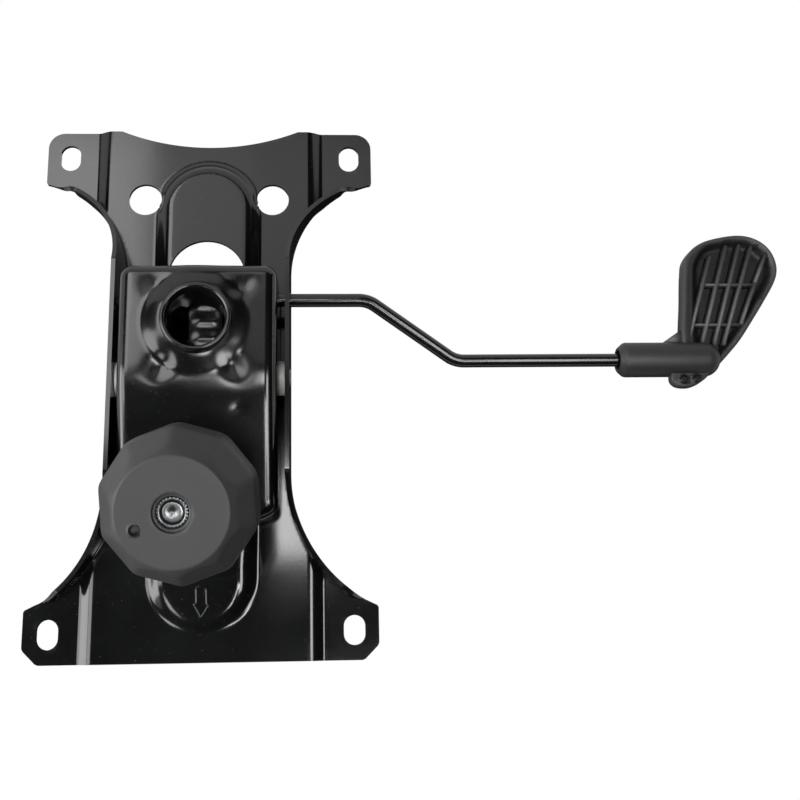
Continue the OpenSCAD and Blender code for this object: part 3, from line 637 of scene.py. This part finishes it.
# %% [markdown]
# ## Turned and swept pieces
# Round pieces are easiest as a section that is turned about an axis. `turned` rounds the section's corners and turns it
# in any frame. It can change the radius with the angle, which gives threads, serrations and grip facets. `swept` runs a
# round bar along a path.

# %% Turning and sweeping
def round_corners(corners, radii, parts=5):
    corners = np.asarray(corners, float)
    made = []
    for i, corner in enumerate(corners):
        radius = radii[i] if i < len(radii) else 0
        if radius == 0:
            made.append(corner)
            continue
        before, after = corners[i - 1] - corner, corners[i + 1] - corner
        reach = min(radius, 0.48 * np.linalg.norm(before), 0.48 * np.linalg.norm(after))
        a, b = corner + unit(before) * reach, corner + unit(after) * reach
        made += [(1 - t) ** 2 * a + 2 * t * (1 - t) * corner + t * t * b for t in np.linspace(0, 1, parts)]
    return np.array(made)


def turned(mesh, corners, radii, place, sides, shape=None, flip=False):
    turn = np.linspace(0, 2 * math.pi, sides, endpoint=False)
    rows = []
    for r, z in round_corners(corners, radii):
        radius = r if shape is None else shape(r, z, turn)
        ring = np.stack([radius * np.cos(turn), radius * np.sin(turn), np.full(sides, z)], 1)
        rows.append(place(ring))
    return mesh.net(rows, wrap=True, flip=flip)


def on_bolt(p, at_x=BOLT_X, at_z=BOLT_Z):
    c, s = math.cos(BOLT_LEAN), math.sin(BOLT_LEAN)
    x, y, z = p[..., 0], p[..., 1], p[..., 2]
    return np.stack([at_x + x * c - z * s, y, at_z + x * s + z * c], -1)


def across(x, z, side=1):
    return lambda p: np.stack([x + p[..., 0], side * p[..., 2], z + side * p[..., 1]], -1)


def swept(mesh, path, radius, sides):
    radius = np.broadcast_to(radius, len(path))
    tangent = unit(np.gradient(path, axis=0))
    normal = unit(np.cross(tangent[0], (0, 0, 1)))
    turn = np.linspace(0, 2 * math.pi, sides, endpoint=False)
    rows = []
    for p, t, r in zip(path, tangent, radius):
        normal = unit(normal - t * np.dot(normal, t))
        other = np.cross(t, normal)
        rows.append(p + r * (np.cos(turn)[:, None] * normal + np.sin(turn)[:, None] * other))
    return mesh.net(rows, wrap=True).cap(rows[0], flip=True).cap(rows[-1])


# %% [markdown]
# ## Stamped arrow
# A small arrow is struck into the boss floor near the front edge; only its outline stands proud, by half a
# millimetre. A thin bar swept round the outline and sunk to its middle gives that ridge.

# %% Stamped arrow
ARROW = [(129.3, 2.5), (136.8, 2.3), (137.6, 3.5), (144.1, -0.2), (138.2, -3.7), (137.2, -2.8), (129.8, -2.6),
         (128.4, 0.0)]
arrow_line = np.concatenate([polygon(ARROW, 0.6), ARROW[:1]])
arrow = swept(Mesh(), level(arrow_line, plate_top(*arrow_line.T) - PLATE_T), 0.55, 8)
piece("stamped_arrow", arrow, "seat", ENAMEL)

# %% [markdown]
# ## Gas lift socket
# A tapered tube pressed into the floor's neck. Its lip is rolled outwards, which shows as two bright lines round the
# mouth. The section runs down the bore, round the lip, up the outside and back over the top.

# %% Socket
SOCKET_BORE, SOCKET_TOP, LIP = 14.2, 21.3, 1.5
section = [(SOCKET_BORE, 10), (SOCKET_BORE, 3.0), (SOCKET_BORE + 0.7, -0.7), (SOCKET_BORE + 1.6, -LIP),
           (SOCKET_R - 0.9, -LIP), (SOCKET_R - 0.05, -0.5), (SOCKET_R, 1.0), (SOCKET_R, SOCKET_TOP),
           (SOCKET_BORE - 0.45, SOCKET_TOP), (SOCKET_BORE, 10)]
socket = turned(Mesh(), section, [0, 0.5, 0.7, 0.7, 0.8, 0.8, 0.5, 0.4, 0.4], lambda p: p, 96, flip=True)
piece("rolled_lip_socket", socket, "lift_base", ENAMEL, ["gas_lift_socket"])

# %% [markdown]
# ## Tilt pivot
# The axle runs across the box in two flanged nylon bushes. Only the white flanges and the axle's ends are seen.

# %% Bushes and axle
BUSH_BORE, AXLE_R = 5.06, 5.0
bushes = Mesh()
for side in (1, -1):
    turned(bushes, [(BUSH_BORE, 25.5), (6.4, 25.5), (6.4, 39.6), (9.0, 39.6), (9.0, 43.05), (BUSH_BORE, 43.05),
                    (BUSH_BORE, 25.5)], [0, 0.4, 0.2, 0.5, 0.7, 0.4], across(*PIVOT, side), 64, flip=True)
axle_end = [(AXLE_R, 45.0), (4.2, 45.8), (2.6, 45.8), (1.3, 44.6), (0.01, 44.6)]
axle = turned(Mesh(), [(r, -y) for r, y in axle_end[::-1]] + axle_end,
              [0, 0.3, 0.4, 0.3, 0.3, 0.3, 0.3, 0.4, 0.3], across(*PIVOT), 48, flip=True)
piece("nylon_pivot_bushes", bushes, "lift_base", NYLON, ["pivot_bushes"])
piece("tilt_axle", axle, "seat", ZINC, ["pivot_axle"])

# %% [markdown]
# ## Tension knob
# A hollow moulding with ten broad flats. From the rim down the grip is nearly straight, then the same ten flats lean in
# as a bevel that ends on the round face. Each of these is a limit for the radius at a given height and angle. The
# moulding tool has no sharp corners, so the limits are joined by a soft minimum. The face has a round recess for the
# threaded insert and one small blind hole. The face is filled with that hole left open, everything else is turned.

# %% Knob form
FACE, GRIP, RIM, HOLLOW = -82.5, -64.0, -48.2, -76.3
FACE_R, RIM_R, GRIP_FLAT, RIM_FLAT = 24.0, 35.3, 33.7, 34.0
FLATS, FLAT_TURN = 10, 33.5


def soft_min(a, b, blend):
    return np.minimum(a, b) - blend * 0.25 * np.clip(1 - np.abs(a - b) / blend, 0, 1) ** 2


def knob_radius(inset, z, turn):
    sector = math.pi / FLATS
    local = (turn - math.radians(FLAT_TURN)) % (2 * sector) - sector
    grip = GRIP_FLAT + (RIM_FLAT - GRIP_FLAT) * (z - GRIP) / (RIM - GRIP)
    bevel = FACE_R + 0.6 + (GRIP_FLAT - FACE_R - 0.6) * (z - FACE) / (GRIP - FACE)
    flat = soft_min(grip, bevel, 1.3)
    sides = soft_min(flat / np.cos(local), flat * 1.042, 0.5)
    turned_limit = soft_min(RIM_R, FACE_R + 0.9 * (z - FACE), 1.0)
    return soft_min(sides, turned_limit, 0.7) - inset


print("corner of the grip:", round(float(np.max(knob_radius(0, GRIP, np.linspace(0, 1, 200)))), 2))

# %% Knob
KNOB_SIDES, MOUTH_R, INSERT_R, RECESS, RECESS_R, HOLE_R = 240, 31.7, 7.02, -80.5, 8.7, 2.3
HOLE_OUT, HOLE_TURN = 17.1, math.radians(65.8)
turn = np.linspace(0, 2 * math.pi, KNOB_SIDES, endpoint=False)
around = np.stack([np.cos(turn), np.sin(turn)], 1)
outer = [(0.7 * (1 - t) ** 2, FACE + 0.6 * t * t) for t in np.linspace(0, 1, 5)]
for low, high, count in ((FACE + 1.3, GRIP - 2.6, 18), (GRIP - 2, GRIP + 2, 9), (GRIP + 3, RIM - 0.8, 10)):
    outer += [(0, z) for z in np.linspace(low, high, count)]
outer += [(0.2, RIM - 0.4), (0.55, RIM - 0.1), (1.0, RIM)]
knob = turned(Mesh(), outer, (), on_bolt, KNOB_SIDES, knob_radius)
turned(knob, [(MOUTH_R, RIM), (30.8, RIM - 1.0), (30.4, -65.3), (22.6, HOLLOW), (11.8, HOLLOW), (11.8, -64.5),
              (INSERT_R, -64.5), (INSERT_R, RECESS)], [0, 0.6, 1.5, 1.2, 1.0, 0.6, 0.3], on_bolt, KNOB_SIDES)
knob.net([on_bolt(level(around * np.broadcast_to(r, KNOB_SIDES)[:, None], RIM))
          for r in (knob_radius(1.0, RIM, turn), MOUTH_R)], wrap=True)
turned(knob, [(INSERT_R, RECESS), (8.2, RECESS), (8.2, FACE + 0.4), (RECESS_R, FACE)], [0, 0.3, 0.5], on_bolt,
       KNOB_SIDES)
hole_at = HOLE_OUT * np.array([math.cos(HOLE_TURN), math.sin(HOLE_TURN)])
hole_loop = circle(hole_at, HOLE_R, 0.35)
flat, faces = fill([around * knob_radius(*outer[0], turn)[:, None], around * RECESS_R, hole_loop], 1.2)
knob.patch(on_bolt(level(flat, FACE)), faces, flip=True)
hole = [on_bolt(level(hole_at + (hole_loop - hole_at) * radius / HOLE_R, FACE + depth))
        for radius, depth in ((HOLE_R, 0), (2.12, 0.2), (2.05, 3.6), (1.6, 4.0))]
knob.net(hole, wrap=True).cap(hole[-1])
piece("faceted_tension_knob", knob, "knob", KNOB_PLASTIC, ["tension_knob"])

# %% [markdown]
# ## Insert, bolt and thrust washer
# The insert is a serrated nut pressed into the knob. The bolt is M10 with a pitch of 1.5 mm: its radius rises and falls
# along the axis and round it together, which makes the thread. Its other end is a cross head that lies in the plate.

# %% Insert and bolt
BOLT_R, PITCH, BOLT_END = 4.95, 1.5, -79.7
SERRATIONS = 26
HEAD_FLAT, HEAD_SIDES = 4.3, 40


def serrated(r, z, turn):
    wave = np.abs((turn * SERRATIONS / (2 * math.pi)) % 1 - 0.5) * 2
    return r - (0.55 * wave if r > 6.2 else 0)


insert = turned(Mesh(), [(5.05, -62.5), (5.05, -80.0), (5.6, RECESS), (6.4, RECESS), (6.98, -80.2), (6.98, -62.5),
                         (5.05, -62.5)], [0, 0.3, 0.2, 0.2, 0.3, 0.2], on_bolt, 208, serrated, flip=True)
piece("serrated_insert", insert, "knob", ZINC, ["knob_insert"])


def threaded(r, z, turn):
    wave = np.abs((z / PITCH - turn / (2 * math.pi)) % 1 - 0.5) * 2
    fade = smooth(z, BOLT_END + 0.4, BOLT_END + 2.2) * (1 - smooth(z, -24, -21))
    return r - 0.75 * np.clip(1.15 * wave - 0.1, 0, 1) * fade * (r > 4)


section = [(r, BOLT_END + z) for r, z in ((0.02, 1.9), (0.5, 1.8), (1.9, 0), (3.9, 0), (4.25, 0.12))]
section += [(BOLT_R - max(0.0, 0.55 - 0.6 * s), BOLT_END + 0.2 + s) for s in np.arange(0.1, 58, PITCH / 8)]
section += [(BOLT_R, 0.0), (BOLT_R, 25.0)]
bolt = turned(Mesh(), section, (), on_bolt, 48, threaded)
turn = np.radians(np.linspace(-222, 42, HEAD_SIDES))
rows = []
for y, r in ((-10.2, 5.7), (-9.9, 6.25), (-9.2, 6.5), (9.2, 6.5), (9.9, 6.25), (10.2, 5.7)):
    ring = np.stack([r * np.cos(turn), np.full(HEAD_SIDES, y), np.minimum(r * np.sin(turn), HEAD_FLAT)], 1)
    rows.append(on_bolt(ring, HEAD_X, HEAD_Z))
bolt.net(rows, wrap=True).cap(rows[0]).cap(rows[-1], flip=True)
piece("cross_headed_bolt", bolt, "bolt", ZINC, ["tension_bolt"])
washer = turned(Mesh(), [(12.2, -76.26), (22.0, -76.26), (22.0, -73.8), (12.2, -73.8), (12.2, -76.26)],
                [0, 0.5, 0.5, 0.4], on_bolt, 72)
piece("thrust_washer_plate", washer, "washer", PHOSPHATE, ["thrust_washer"])

# %% [markdown]
# ## Spring and its cup
# The spring is wound from 6.4 mm wire: five and a half open coils and one closed coil at each end. It is a swept bar on
# a helix. When the seat leans back, the bolt pulls the knob up and the spring shortens from 71.6 to 60.3 mm; here the
# piece keeps one length and gets a mesh of its own.

# %% Spring
WIRE_R, COIL_R, COILS, SPRING_LENGTH, CUP = 3.2, 17.4, 5.5, 71.6, 2.2
COIL_POINTS, BLUR = 56, 15
closed_rise = 2 * WIRE_R + 0.55
open_rise = (SPRING_LENGTH - 2 * WIRE_R - 0.1 - 2 * closed_rise) / COILS
turns = np.linspace(0, COILS + 2, int((COILS + 2) * COIL_POINTS))
climb = np.interp(turns, [0, 1, 1 + COILS, 2 + COILS],
                  np.cumsum([0, closed_rise, COILS * open_rise, closed_rise]))
climb = np.convolve(np.pad(climb, BLUR // 2, mode="reflect", reflect_type="odd"), np.ones(BLUR) / BLUR, "valid")
z = -CUP - SPRING_LENGTH + WIRE_R + 0.05 + climb
coil = np.stack([COIL_R * np.cos(2 * math.pi * turns), COIL_R * np.sin(2 * math.pi * turns), z], 1)
spring = swept(Mesh(), on_bolt(coil), WIRE_R, 16)
spring_piece = piece("tension_coil_spring", spring, "lift_base", SPRING_COAT, ["tension_spring"])
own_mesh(spring_piece)
cup = turned(Mesh(), [(6.4, -0.02), (22.5, -0.02), (22.5, -CUP), (13.9, -CUP), (13.4, -CUP - 3), (6.4, -CUP - 3),
                      (6.4, -0.02)], [0, 0.7, 0.7, 0.5, 0.8, 0.5], on_bolt, 72, flip=True)
piece("spring_cup", cup, "lift_base", PHOSPHATE, ["spring_seat"])

# %% [markdown]
# ## Lever rod
# A 7 mm bar with a turned tip that locks the tilt and two bends that clear the seat. The path goes through the corner
# points of the solid, with each corner rounded to the bend radius, and a bar is swept along it.

# %% Rod
ROD_R, TIP_R, BEND_R = 3.5, 2.6, 15.0
OUTER_X, OUTER_Z = 12.5, 39.5
corners = np.array([(ROD[0], 29.0, ROD[1]), (ROD[0], -86.0, ROD[1]), (OUTER_X, -132.4, OUTER_Z),
                    (OUTER_X, -261.0, OUTER_Z)])
path = [corners[0] + (corners[1] - corners[0]) * t for t in np.linspace(0, 0.8, 24)]
for i in (1, 2):
    into, out = unit(corners[i] - corners[i - 1]), unit(corners[i + 1] - corners[i])
    angle = math.acos(np.dot(into, out))
    side = unit(out - into * np.dot(out, into))
    centre = corners[i] - into * BEND_R * math.tan(angle / 2) + side * BEND_R
    path += [centre + BEND_R * (math.sin(a) * into - math.cos(a) * side) for a in np.linspace(0, angle, 14)]
path += [path[-1] + (corners[3] - path[-1]) * t for t in np.linspace(0.05, 1, 20)]
TIP = ((42.6, TIP_R - 0.9), (42.55, TIP_R - 0.8), (41.8, TIP_R), (29.4, TIP_R), (29.2, ROD_R - 0.3), (29.05, ROD_R))
rod_line = np.array([(ROD[0], y, ROD[1]) for y, radius in TIP] + path[1:])
rod_radius = [radius for y, radius in TIP] + [ROD_R] * len(path[1:])
piece("bent_lever_rod", swept(Mesh(), rod_line, rod_radius, 32), "lever", LACQUER, ["lever_rod"])

# %% [markdown]
# ## Release thumb
# A thumb is pinned to the rod above the socket. It is a hub and a tongue of 3 mm steel with three low pressed ridges
# across, which catch the light in the dark of the bore. The tongue's underside leans by five degrees. Its plan is
# filled twice, once for each face.

# %% Thumb
THUMB_LOW, THUMB_HIGH, THUMB_MIDDLE, THUMB_HALF, THUMB_NOSE, THUMB_REAR = 25.3, 28.3, -2.0, 8.5, 0.6, -13.6
THUMB_LEAN, RIDGES, RIDGE_RISE, RIDGE_WIDTH = 0.087, (-14, -5.6, 2.9), 0.3, 2.6
thumb = turned(Mesh(), [(3.62, -9.5), (5.0, -9.5), (5.0, 3.5), (3.62, 3.5), (3.62, -9.5)], [0, 0.5, 0.5, 0.3],
               across(*ROD), 48, flip=True)
near, far = THUMB_MIDDLE - THUMB_HALF, THUMB_MIDDLE + THUMB_HALF
tongue = chain(line((THUMB_REAR, near), (THUMB_NOSE, near)), arc((THUMB_NOSE, THUMB_MIDDLE), THUMB_HALF, -90, 90),
               line((THUMB_NOSE, far), (THUMB_REAR, far)), line((THUMB_REAR, far), (THUMB_REAR, near)))


def ridged(x, y):
    fade = 1 - smooth(np.abs(y - THUMB_MIDDLE), 2.5, THUMB_HALF - 0.2)
    ridges = sum(np.exp(-((x - at) / RIDGE_WIDTH) ** 2) for at in RIDGES)
    return THUMB_LOW + THUMB_LEAN * (x + 4) - RIDGE_RISE * fade * ridges


spread(thumb, [tongue], 0.9, ridged, flip=True)
spread(thumb, [tongue], 0.9, THUMB_HIGH)
thumb.net([level(tongue, ridged(*tongue.T)), level(tongue, THUMB_HIGH)], wrap=True)
soften(piece("ridged_release_thumb", thumb, "lever", ENAMEL, ["release_thumb"]), 0.3, 50)

# %% [markdown]
# ## Paddle
# A black moulding on the rod's end. The blade is a shallow dish, open downwards: its floor falls away from the rim over
# about 4 mm, and more gently near the barrel. Five slanted ribs, the last one bent, and two cross ribs stand in it and
# run out into the dish by themselves. The barrel that takes the bar ends in a dome. A flap with two blind holes and a
# thin web join the barrel to the blade.

# %% Paddle outline
BLADE = [(6, -254.6), (-4.2, -254.8), (-17, -256.3), (-29, -257.4), (-36, -258.2), (-43.2, -259.7), (-49.8, -264.8),
         (-54.1, -271.6), (-56.6, -280.6), (-57.8, -290), (-56.8, -297.6), (-53.6, -304), (-48.4, -308.6),
         (-42, -310.8), (-36, -310.8), (-29.7, -308.4), (-19, -301.6), (-8.5, -294.4), (1.8, -287), (9, -280.6),
         (16, -273.8), (21, -268.2), (21, -262), (16, -256.6)]


def curve(points, parts=5):
    """Closed anticlockwise curve through the points."""
    p = np.asarray(points, float)
    made = []
    for i in range(len(p)):
        a, b, c, d = (p[(i + k) % len(p)] for k in (-1, 0, 1, 2))
        for t in np.linspace(0, 1, parts, endpoint=False):
            made.append(0.5 * (2 * b + (c - a) * t + (2 * a - 5 * b + 4 * c - d) * t * t
                               + (3 * b - a - 3 * c + d) * t ** 3))
    x, y = np.array(made).T
    area = np.sum(x * np.roll(y, -1) - np.roll(x, -1) * y)
    return np.array(made) if area > 0 else np.array(made)[::-1]


def moved_in(loop, amount):
    return loop + left_of(unit(np.roll(loop, -1, 0) - np.roll(loop, 1, 0))) * amount


blade_line = curve(BLADE)
print("blade outline:", len(blade_line), "points")

# %% Paddle blade and ribs
BLADE_LOW, BLADE_HIGH, LIP_IN, BACK_IN = 36.1, 45.1, 1.9, 1.6
DISH, DISH_EDGE, DISH_SOFT, SOFT_SPAN = 6.5, 5.5, 11, (-274, -258)
paddle = Mesh()
paddle.net([level(moved_in(blade_line, inset), z) for inset, z in (
    (LIP_IN, BLADE_LOW), (1.1, BLADE_LOW + 0.2), (0.4, BLADE_LOW + 0.9), (0, BLADE_LOW + 2.2), (0, BLADE_HIGH - 2.2),
    (0.5, BLADE_HIGH - 0.9), (BACK_IN, BLADE_HIGH - 0.2))], wrap=True)
spread(paddle, [moved_in(blade_line, BACK_IN)], 3, BLADE_HIGH - 0.2)
flat, faces = fill([moved_in(blade_line, LIP_IN)], 1.5)
to_rim = np.array([np.sqrt(np.min(np.sum((blade_line - p) ** 2, 1))) for p in flat])
heights = BLADE_LOW + DISH * smooth(to_rim, LIP_IN, DISH_EDGE + DISH_SOFT * smooth(flat[:, 1], *SOFT_SPAN))
heights[:len(blade_line)] = BLADE_LOW
paddle.patch(level(flat, heights), faces, flip=True)
RIBS = [((5.4, -257.8), (-45.4, -274.4)), ((5.4, -265.6), (-51.6, -284)), ((5.4, -272.3), (-52.2, -291.4)),
        ((4.8, -277.6), (-51.4, -298)), ((-6.7, -288.2), (-30.2, -298.2)), ((-30.2, -298.2), (-48, -306.4))]
CROSS_RIBS = [((-29.4, -268), (-29.4, -299.5)), ((-6.7, -260.5), (-6.7, -289.5))]
RIB_ROOT = BLADE_HIGH - 2.6
for lines, low, thick in ((RIBS, BLADE_LOW + 1.0, 1.9), (CROSS_RIBS, BLADE_LOW + 1.5, 1.5)):
    for a, b in np.array(lines):
        side = left_of(unit(b - a)) * thick / 2
        rings = [level([a - side * w, b - side * w, b + side * w, a + side * w], z)
                 for w, z in ((1.3, RIB_ROOT), (1.0, low + 0.6), (0.55, low))]
        paddle.net(rings, wrap=True, flip=True).cap(rings[-1], flip=True)
print("blade and ribs:", len(paddle.faces), "faces")

# %% Paddle barrel, flap and web
BARREL_Y, BARREL_R, BARREL_LENGTH, DOME = -219.5, 9.3, 46.5, 9.0
FLAP = [(20, -247.2), (24.6, -247.0), (27.4, -249.6), (28.2, -254), (27.6, -258.4), (25.2, -263.4), (21, -267.4),
        (14, -267), (12, -257), (14, -249)]
FLAP_LOW, FLAP_HIGH, FLAP_IN, FLAP_BACK_IN = 35.5, 41.4, 0.8, 0.7
WEB = [(3.2, -244.6), (3.2, -256.4), (-4.8, -256.4)]


def on_barrel(p):
    return np.stack([OUTER_X + p[..., 0], BARREL_Y - p[..., 2], OUTER_Z + p[..., 1]], -1)


dome = [(BARREL_R * math.cos(a), BARREL_LENGTH + DOME * math.sin(a)) for a in np.radians(np.linspace(8, 89.7, 12))]
turned(paddle, [(3.55, 4.6), (4.9, 4.4), (5.2, 0.2), (6.4, 0.0), (BARREL_R, 3.2), (BARREL_R, BARREL_LENGTH), *dome],
       [0, 0.3, 0.4, 0.6, 1.2], on_barrel, 72)
flap_line = curve(FLAP)
pockets = [circle((24.4, y), 2.2, 0.5) for y in (-253.4, -260.2)]
spread(paddle, [moved_in(flap_line, FLAP_IN), *pockets], 1.5, FLAP_LOW, flip=True)
paddle.net([level(moved_in(flap_line, inset), z) for inset, z in (
    (FLAP_IN, FLAP_LOW), (0.2, FLAP_LOW + 0.2), (0, FLAP_LOW + 0.8), (0, FLAP_HIGH - 0.6), (FLAP_BACK_IN, FLAP_HIGH))],
    wrap=True)
spread(paddle, [moved_in(flap_line, FLAP_BACK_IN)], 3, FLAP_HIGH)
for pocket in pockets:
    middle = pocket.mean(0)
    rings = [level(middle + (pocket - middle) * w, FLAP_LOW + depth) for w, depth in ((1, 0), (0.92, 0.3), (0.86, 4))]
    paddle.net(rings, wrap=True).cap(rings[-1])
rings = [level(WEB, z) for z in (38.0, 42.4)]
paddle.net(rings, wrap=True, flip=True).cap(rings[0]).cap(rings[1], flip=True)
piece("ribbed_lever_paddle", paddle, "lever", PADDLE_PLASTIC, ["lever_paddle"])

# %% [markdown]
# ## Solids that stay
# The small fittings inside the box have the right shape already. They keep their solids, and get their finish and, as
# stamped or moulded pieces, slightly rounded edges.

# %% Finishes of the solids that stay
STAY = {"socket_bridge": ENAMEL, "pivot_tube": PHOSPHATE, "lever_tip_bush": NYLON, "lever_rod_bush": NYLON,
        "lever_clip": PHOSPHATE, "thumb_pin": PHOSPHATE, "front_bumper": RUBBER, "rear_bumper": RUBBER}
for name, material in STAY.items():
    solid = frame["nodes"][name]
    solid.data.materials.clear()
    solid.data.materials.append(material)
    weld = solid.modifiers.new("joined_corners", "WELD")
    weld.merge_threshold = 0.01 * MM
    soften(solid, 0.25, 35)
print("kept solids:", len(STAY))

# %% [markdown]
# ## Studio
# A product photograph of a black part on white is lit by what it mirrors. Softboxes stand at the left and above, a
# strip at the right. Panels below the part are for mirrors only: each is what a stretch of plate, box or bar shows back
# to the camera. Three fills light matt plastic and stay out of mirrors. Black flags below, above, in front and at the
# right keep the white room out of the enamel. The floor is pale and far below. The white ground is only for rays that
# the camera, a mirror or glass sends out, so it adds no light to the part.

# %% World, floor and flags
def white_where_seen(owner, output, stray, light, **look):
    owner.use_nodes = True
    tree = owner.node_tree
    tree.nodes.clear()
    rays = add(tree, "ShaderNodeLightPath").outputs
    seen = rays["Is Camera Ray"]
    for other in ("Is Glossy Ray", "Is Transmission Ray"):
        seen = add(tree, "ShaderNodeMath", {"operation": "MAXIMUM"}, _0=seen, _1=rays[other]).outputs[0]
    white = add(tree, light, Color="#ffffff", Strength=1.0).outputs[0]
    both = add(tree, "ShaderNodeMixShader", _0=seen, _1=add(tree, stray, **look).outputs[0], _2=white)
    add(tree, output, Surface=both.outputs[0])


def stage_sheet(name, centre, right, up, width, height, material):
    right, up = Vector(right) * width / 2, Vector(up) * height / 2
    corners = [Vector(centre) + right * sx + up * sy for sx, sy in ((-1, -1), (1, -1), (1, 1), (-1, 1))]
    data = bpy.data.meshes.new(name)
    data.from_pydata([tuple(c) for c in corners], [], [(0, 1, 2, 3)])
    made = bpy.data.objects.new(name, data)
    made.data.materials.append(material)
    scene.collection.objects.link(made)
    return made


scene.world = bpy.data.worlds.new("white_studio")
white_where_seen(scene.world, "ShaderNodeOutputWorld", "ShaderNodeBackground", "ShaderNodeBackground",
                 Color="#cfd2d6", Strength=0.16)
floor_material = bpy.data.materials.new("pale_studio_floor")
white_where_seen(floor_material, "ShaderNodeOutputMaterial", "ShaderNodeBsdfDiffuse", "ShaderNodeEmission",
                 Color="#e6e6e6")
X, Y, Z = (1, 0, 0), (0, 1, 0), (0, 0, 1)
stage_sheet("studio_floor", (0, 0, -1.15), X, Y, 30, 30, floor_material)
flag_material = bpy.data.materials.new("black_flag_felt")
flag_material.use_nodes = True
felt = flag_material.node_tree.nodes["Principled BSDF"]
felt.inputs["Base Color"].default_value = linear("#060606")
felt.inputs["Roughness"].default_value = 0.95
FLAGS = (("low_flag", (0.15, 0, -0.62), X, Y, 1.5, 2.2), ("high_flag", (0.45, 0, 0.62), X, Y, 1.5, 2.4),
         ("front_flag", (0.9, 0, -0.25), Y, Z, 2.0, 0.74), ("right_flag", (0.15, -1.0, -0.25), X, Z, 1.5, 0.74))
for placing in FLAGS:
    flag = stage_sheet(*placing, flag_material)
    flag.visible_camera = flag.visible_shadow = flag.visible_diffuse = False
print("stage: floor and flags")

# %% Softboxes, panels and fills
AIM, PANEL_Z = (0.03, -0.06, 0.03), -0.55
PANELS = (("rear_left_panel", -0.455, -0.045, 0.143, 0.38, 5.1), ("waist_panel", -0.045, 0.05, 0.143, 0.3, 0.6),
          ("rear_middle_panel", -0.455, -0.24, 0.02, 0.143, 1.6), ("rear_right_panel", -0.455, -0.24, -0.14, 0.02, 1.3),
          ("box_panel", -0.24, -0.12, -0.10, 0.05, 0.8), ("box_left_panel", -0.24, -0.1, 0.11, 0.143, 4.0),
          ("front_right_panel", -0.02, 0.07, -0.07, 0.018, 14.0), ("socket_glint", -0.01, 0.02, 0.05, 0.11, 9.0),
          ("front_middle_panel", 0.03, 0.1, 0.03, 0.06, 1.6), ("rod_panel", -0.02, 0.36, -0.40, -0.22, 11.0),
          ("bend_strip", 0.23, 0.29, -0.22, -0.13, 20.0), ("near_rod_panel", 0.21, 0.42, -0.125, -0.08, 15.0),
          ("knob_sheen", 0.36, 0.52, 0.27, 0.43, 8.0))
FILLS = (("under_fill", (0.38, 0.16, -0.56), (0.08, -0.06, 0), Y, 0.4, 9.0),
         ("left_fill", (0.15, 0.5, -0.25), (0.08, 0, -0.03), X, 0.3, 12.0),
         ("right_fill", (0.1, -0.4, -0.5), (0.02, -0.05, 0.03), X, 0.3, 2.5))


def softbox(name, place, aim, right, width, height, radiance):
    place = Vector(place)
    back = (place - Vector(aim)).normalized()
    up = back.cross(Vector(right)).normalized()
    data = bpy.data.lights.new(name, "AREA")
    data.shape = "RECTANGLE"
    data.size, data.size_y = width, height
    data.energy = radiance * math.pi * width * height
    made = bpy.data.objects.new(name, data)
    made.matrix_world = Matrix.Translation(place) @ Matrix((up.cross(back), up, back)).transposed().to_4x4()
    made.visible_camera = False
    scene.collection.objects.link(made)
    return made


softbox("left_softbox", (0.12, 0.65, -0.23), AIM, X, 0.5, 0.28, 6.8)
softbox("left_low_softbox", (0.07, 0.52, -0.52), AIM, X, 0.35, 0.3, 6.0).visible_diffuse = False
for name, x0, x1, y0, y1, radiance in PANELS:
    middle = ((x0 + x1) / 2, (y0 + y1) / 2)
    softbox(name, (*middle, PANEL_Z), (*middle, 0), X, x1 - x0, y1 - y0, radiance).visible_diffuse = False
for name, place, aim, right, size, radiance in FILLS:
    softbox(name, place, aim, right, size, size, radiance).visible_glossy = False
softbox("right_strip", (-0.06, -0.93, -0.08), AIM, X, 0.7, 0.08, 3.5)
softbox("top_softbox", (0.25, 0.27, 1.05), AIM, X, 0.9, 0.9, 1.6)

# %% Update the scene
bpy.context.view_layer.update()
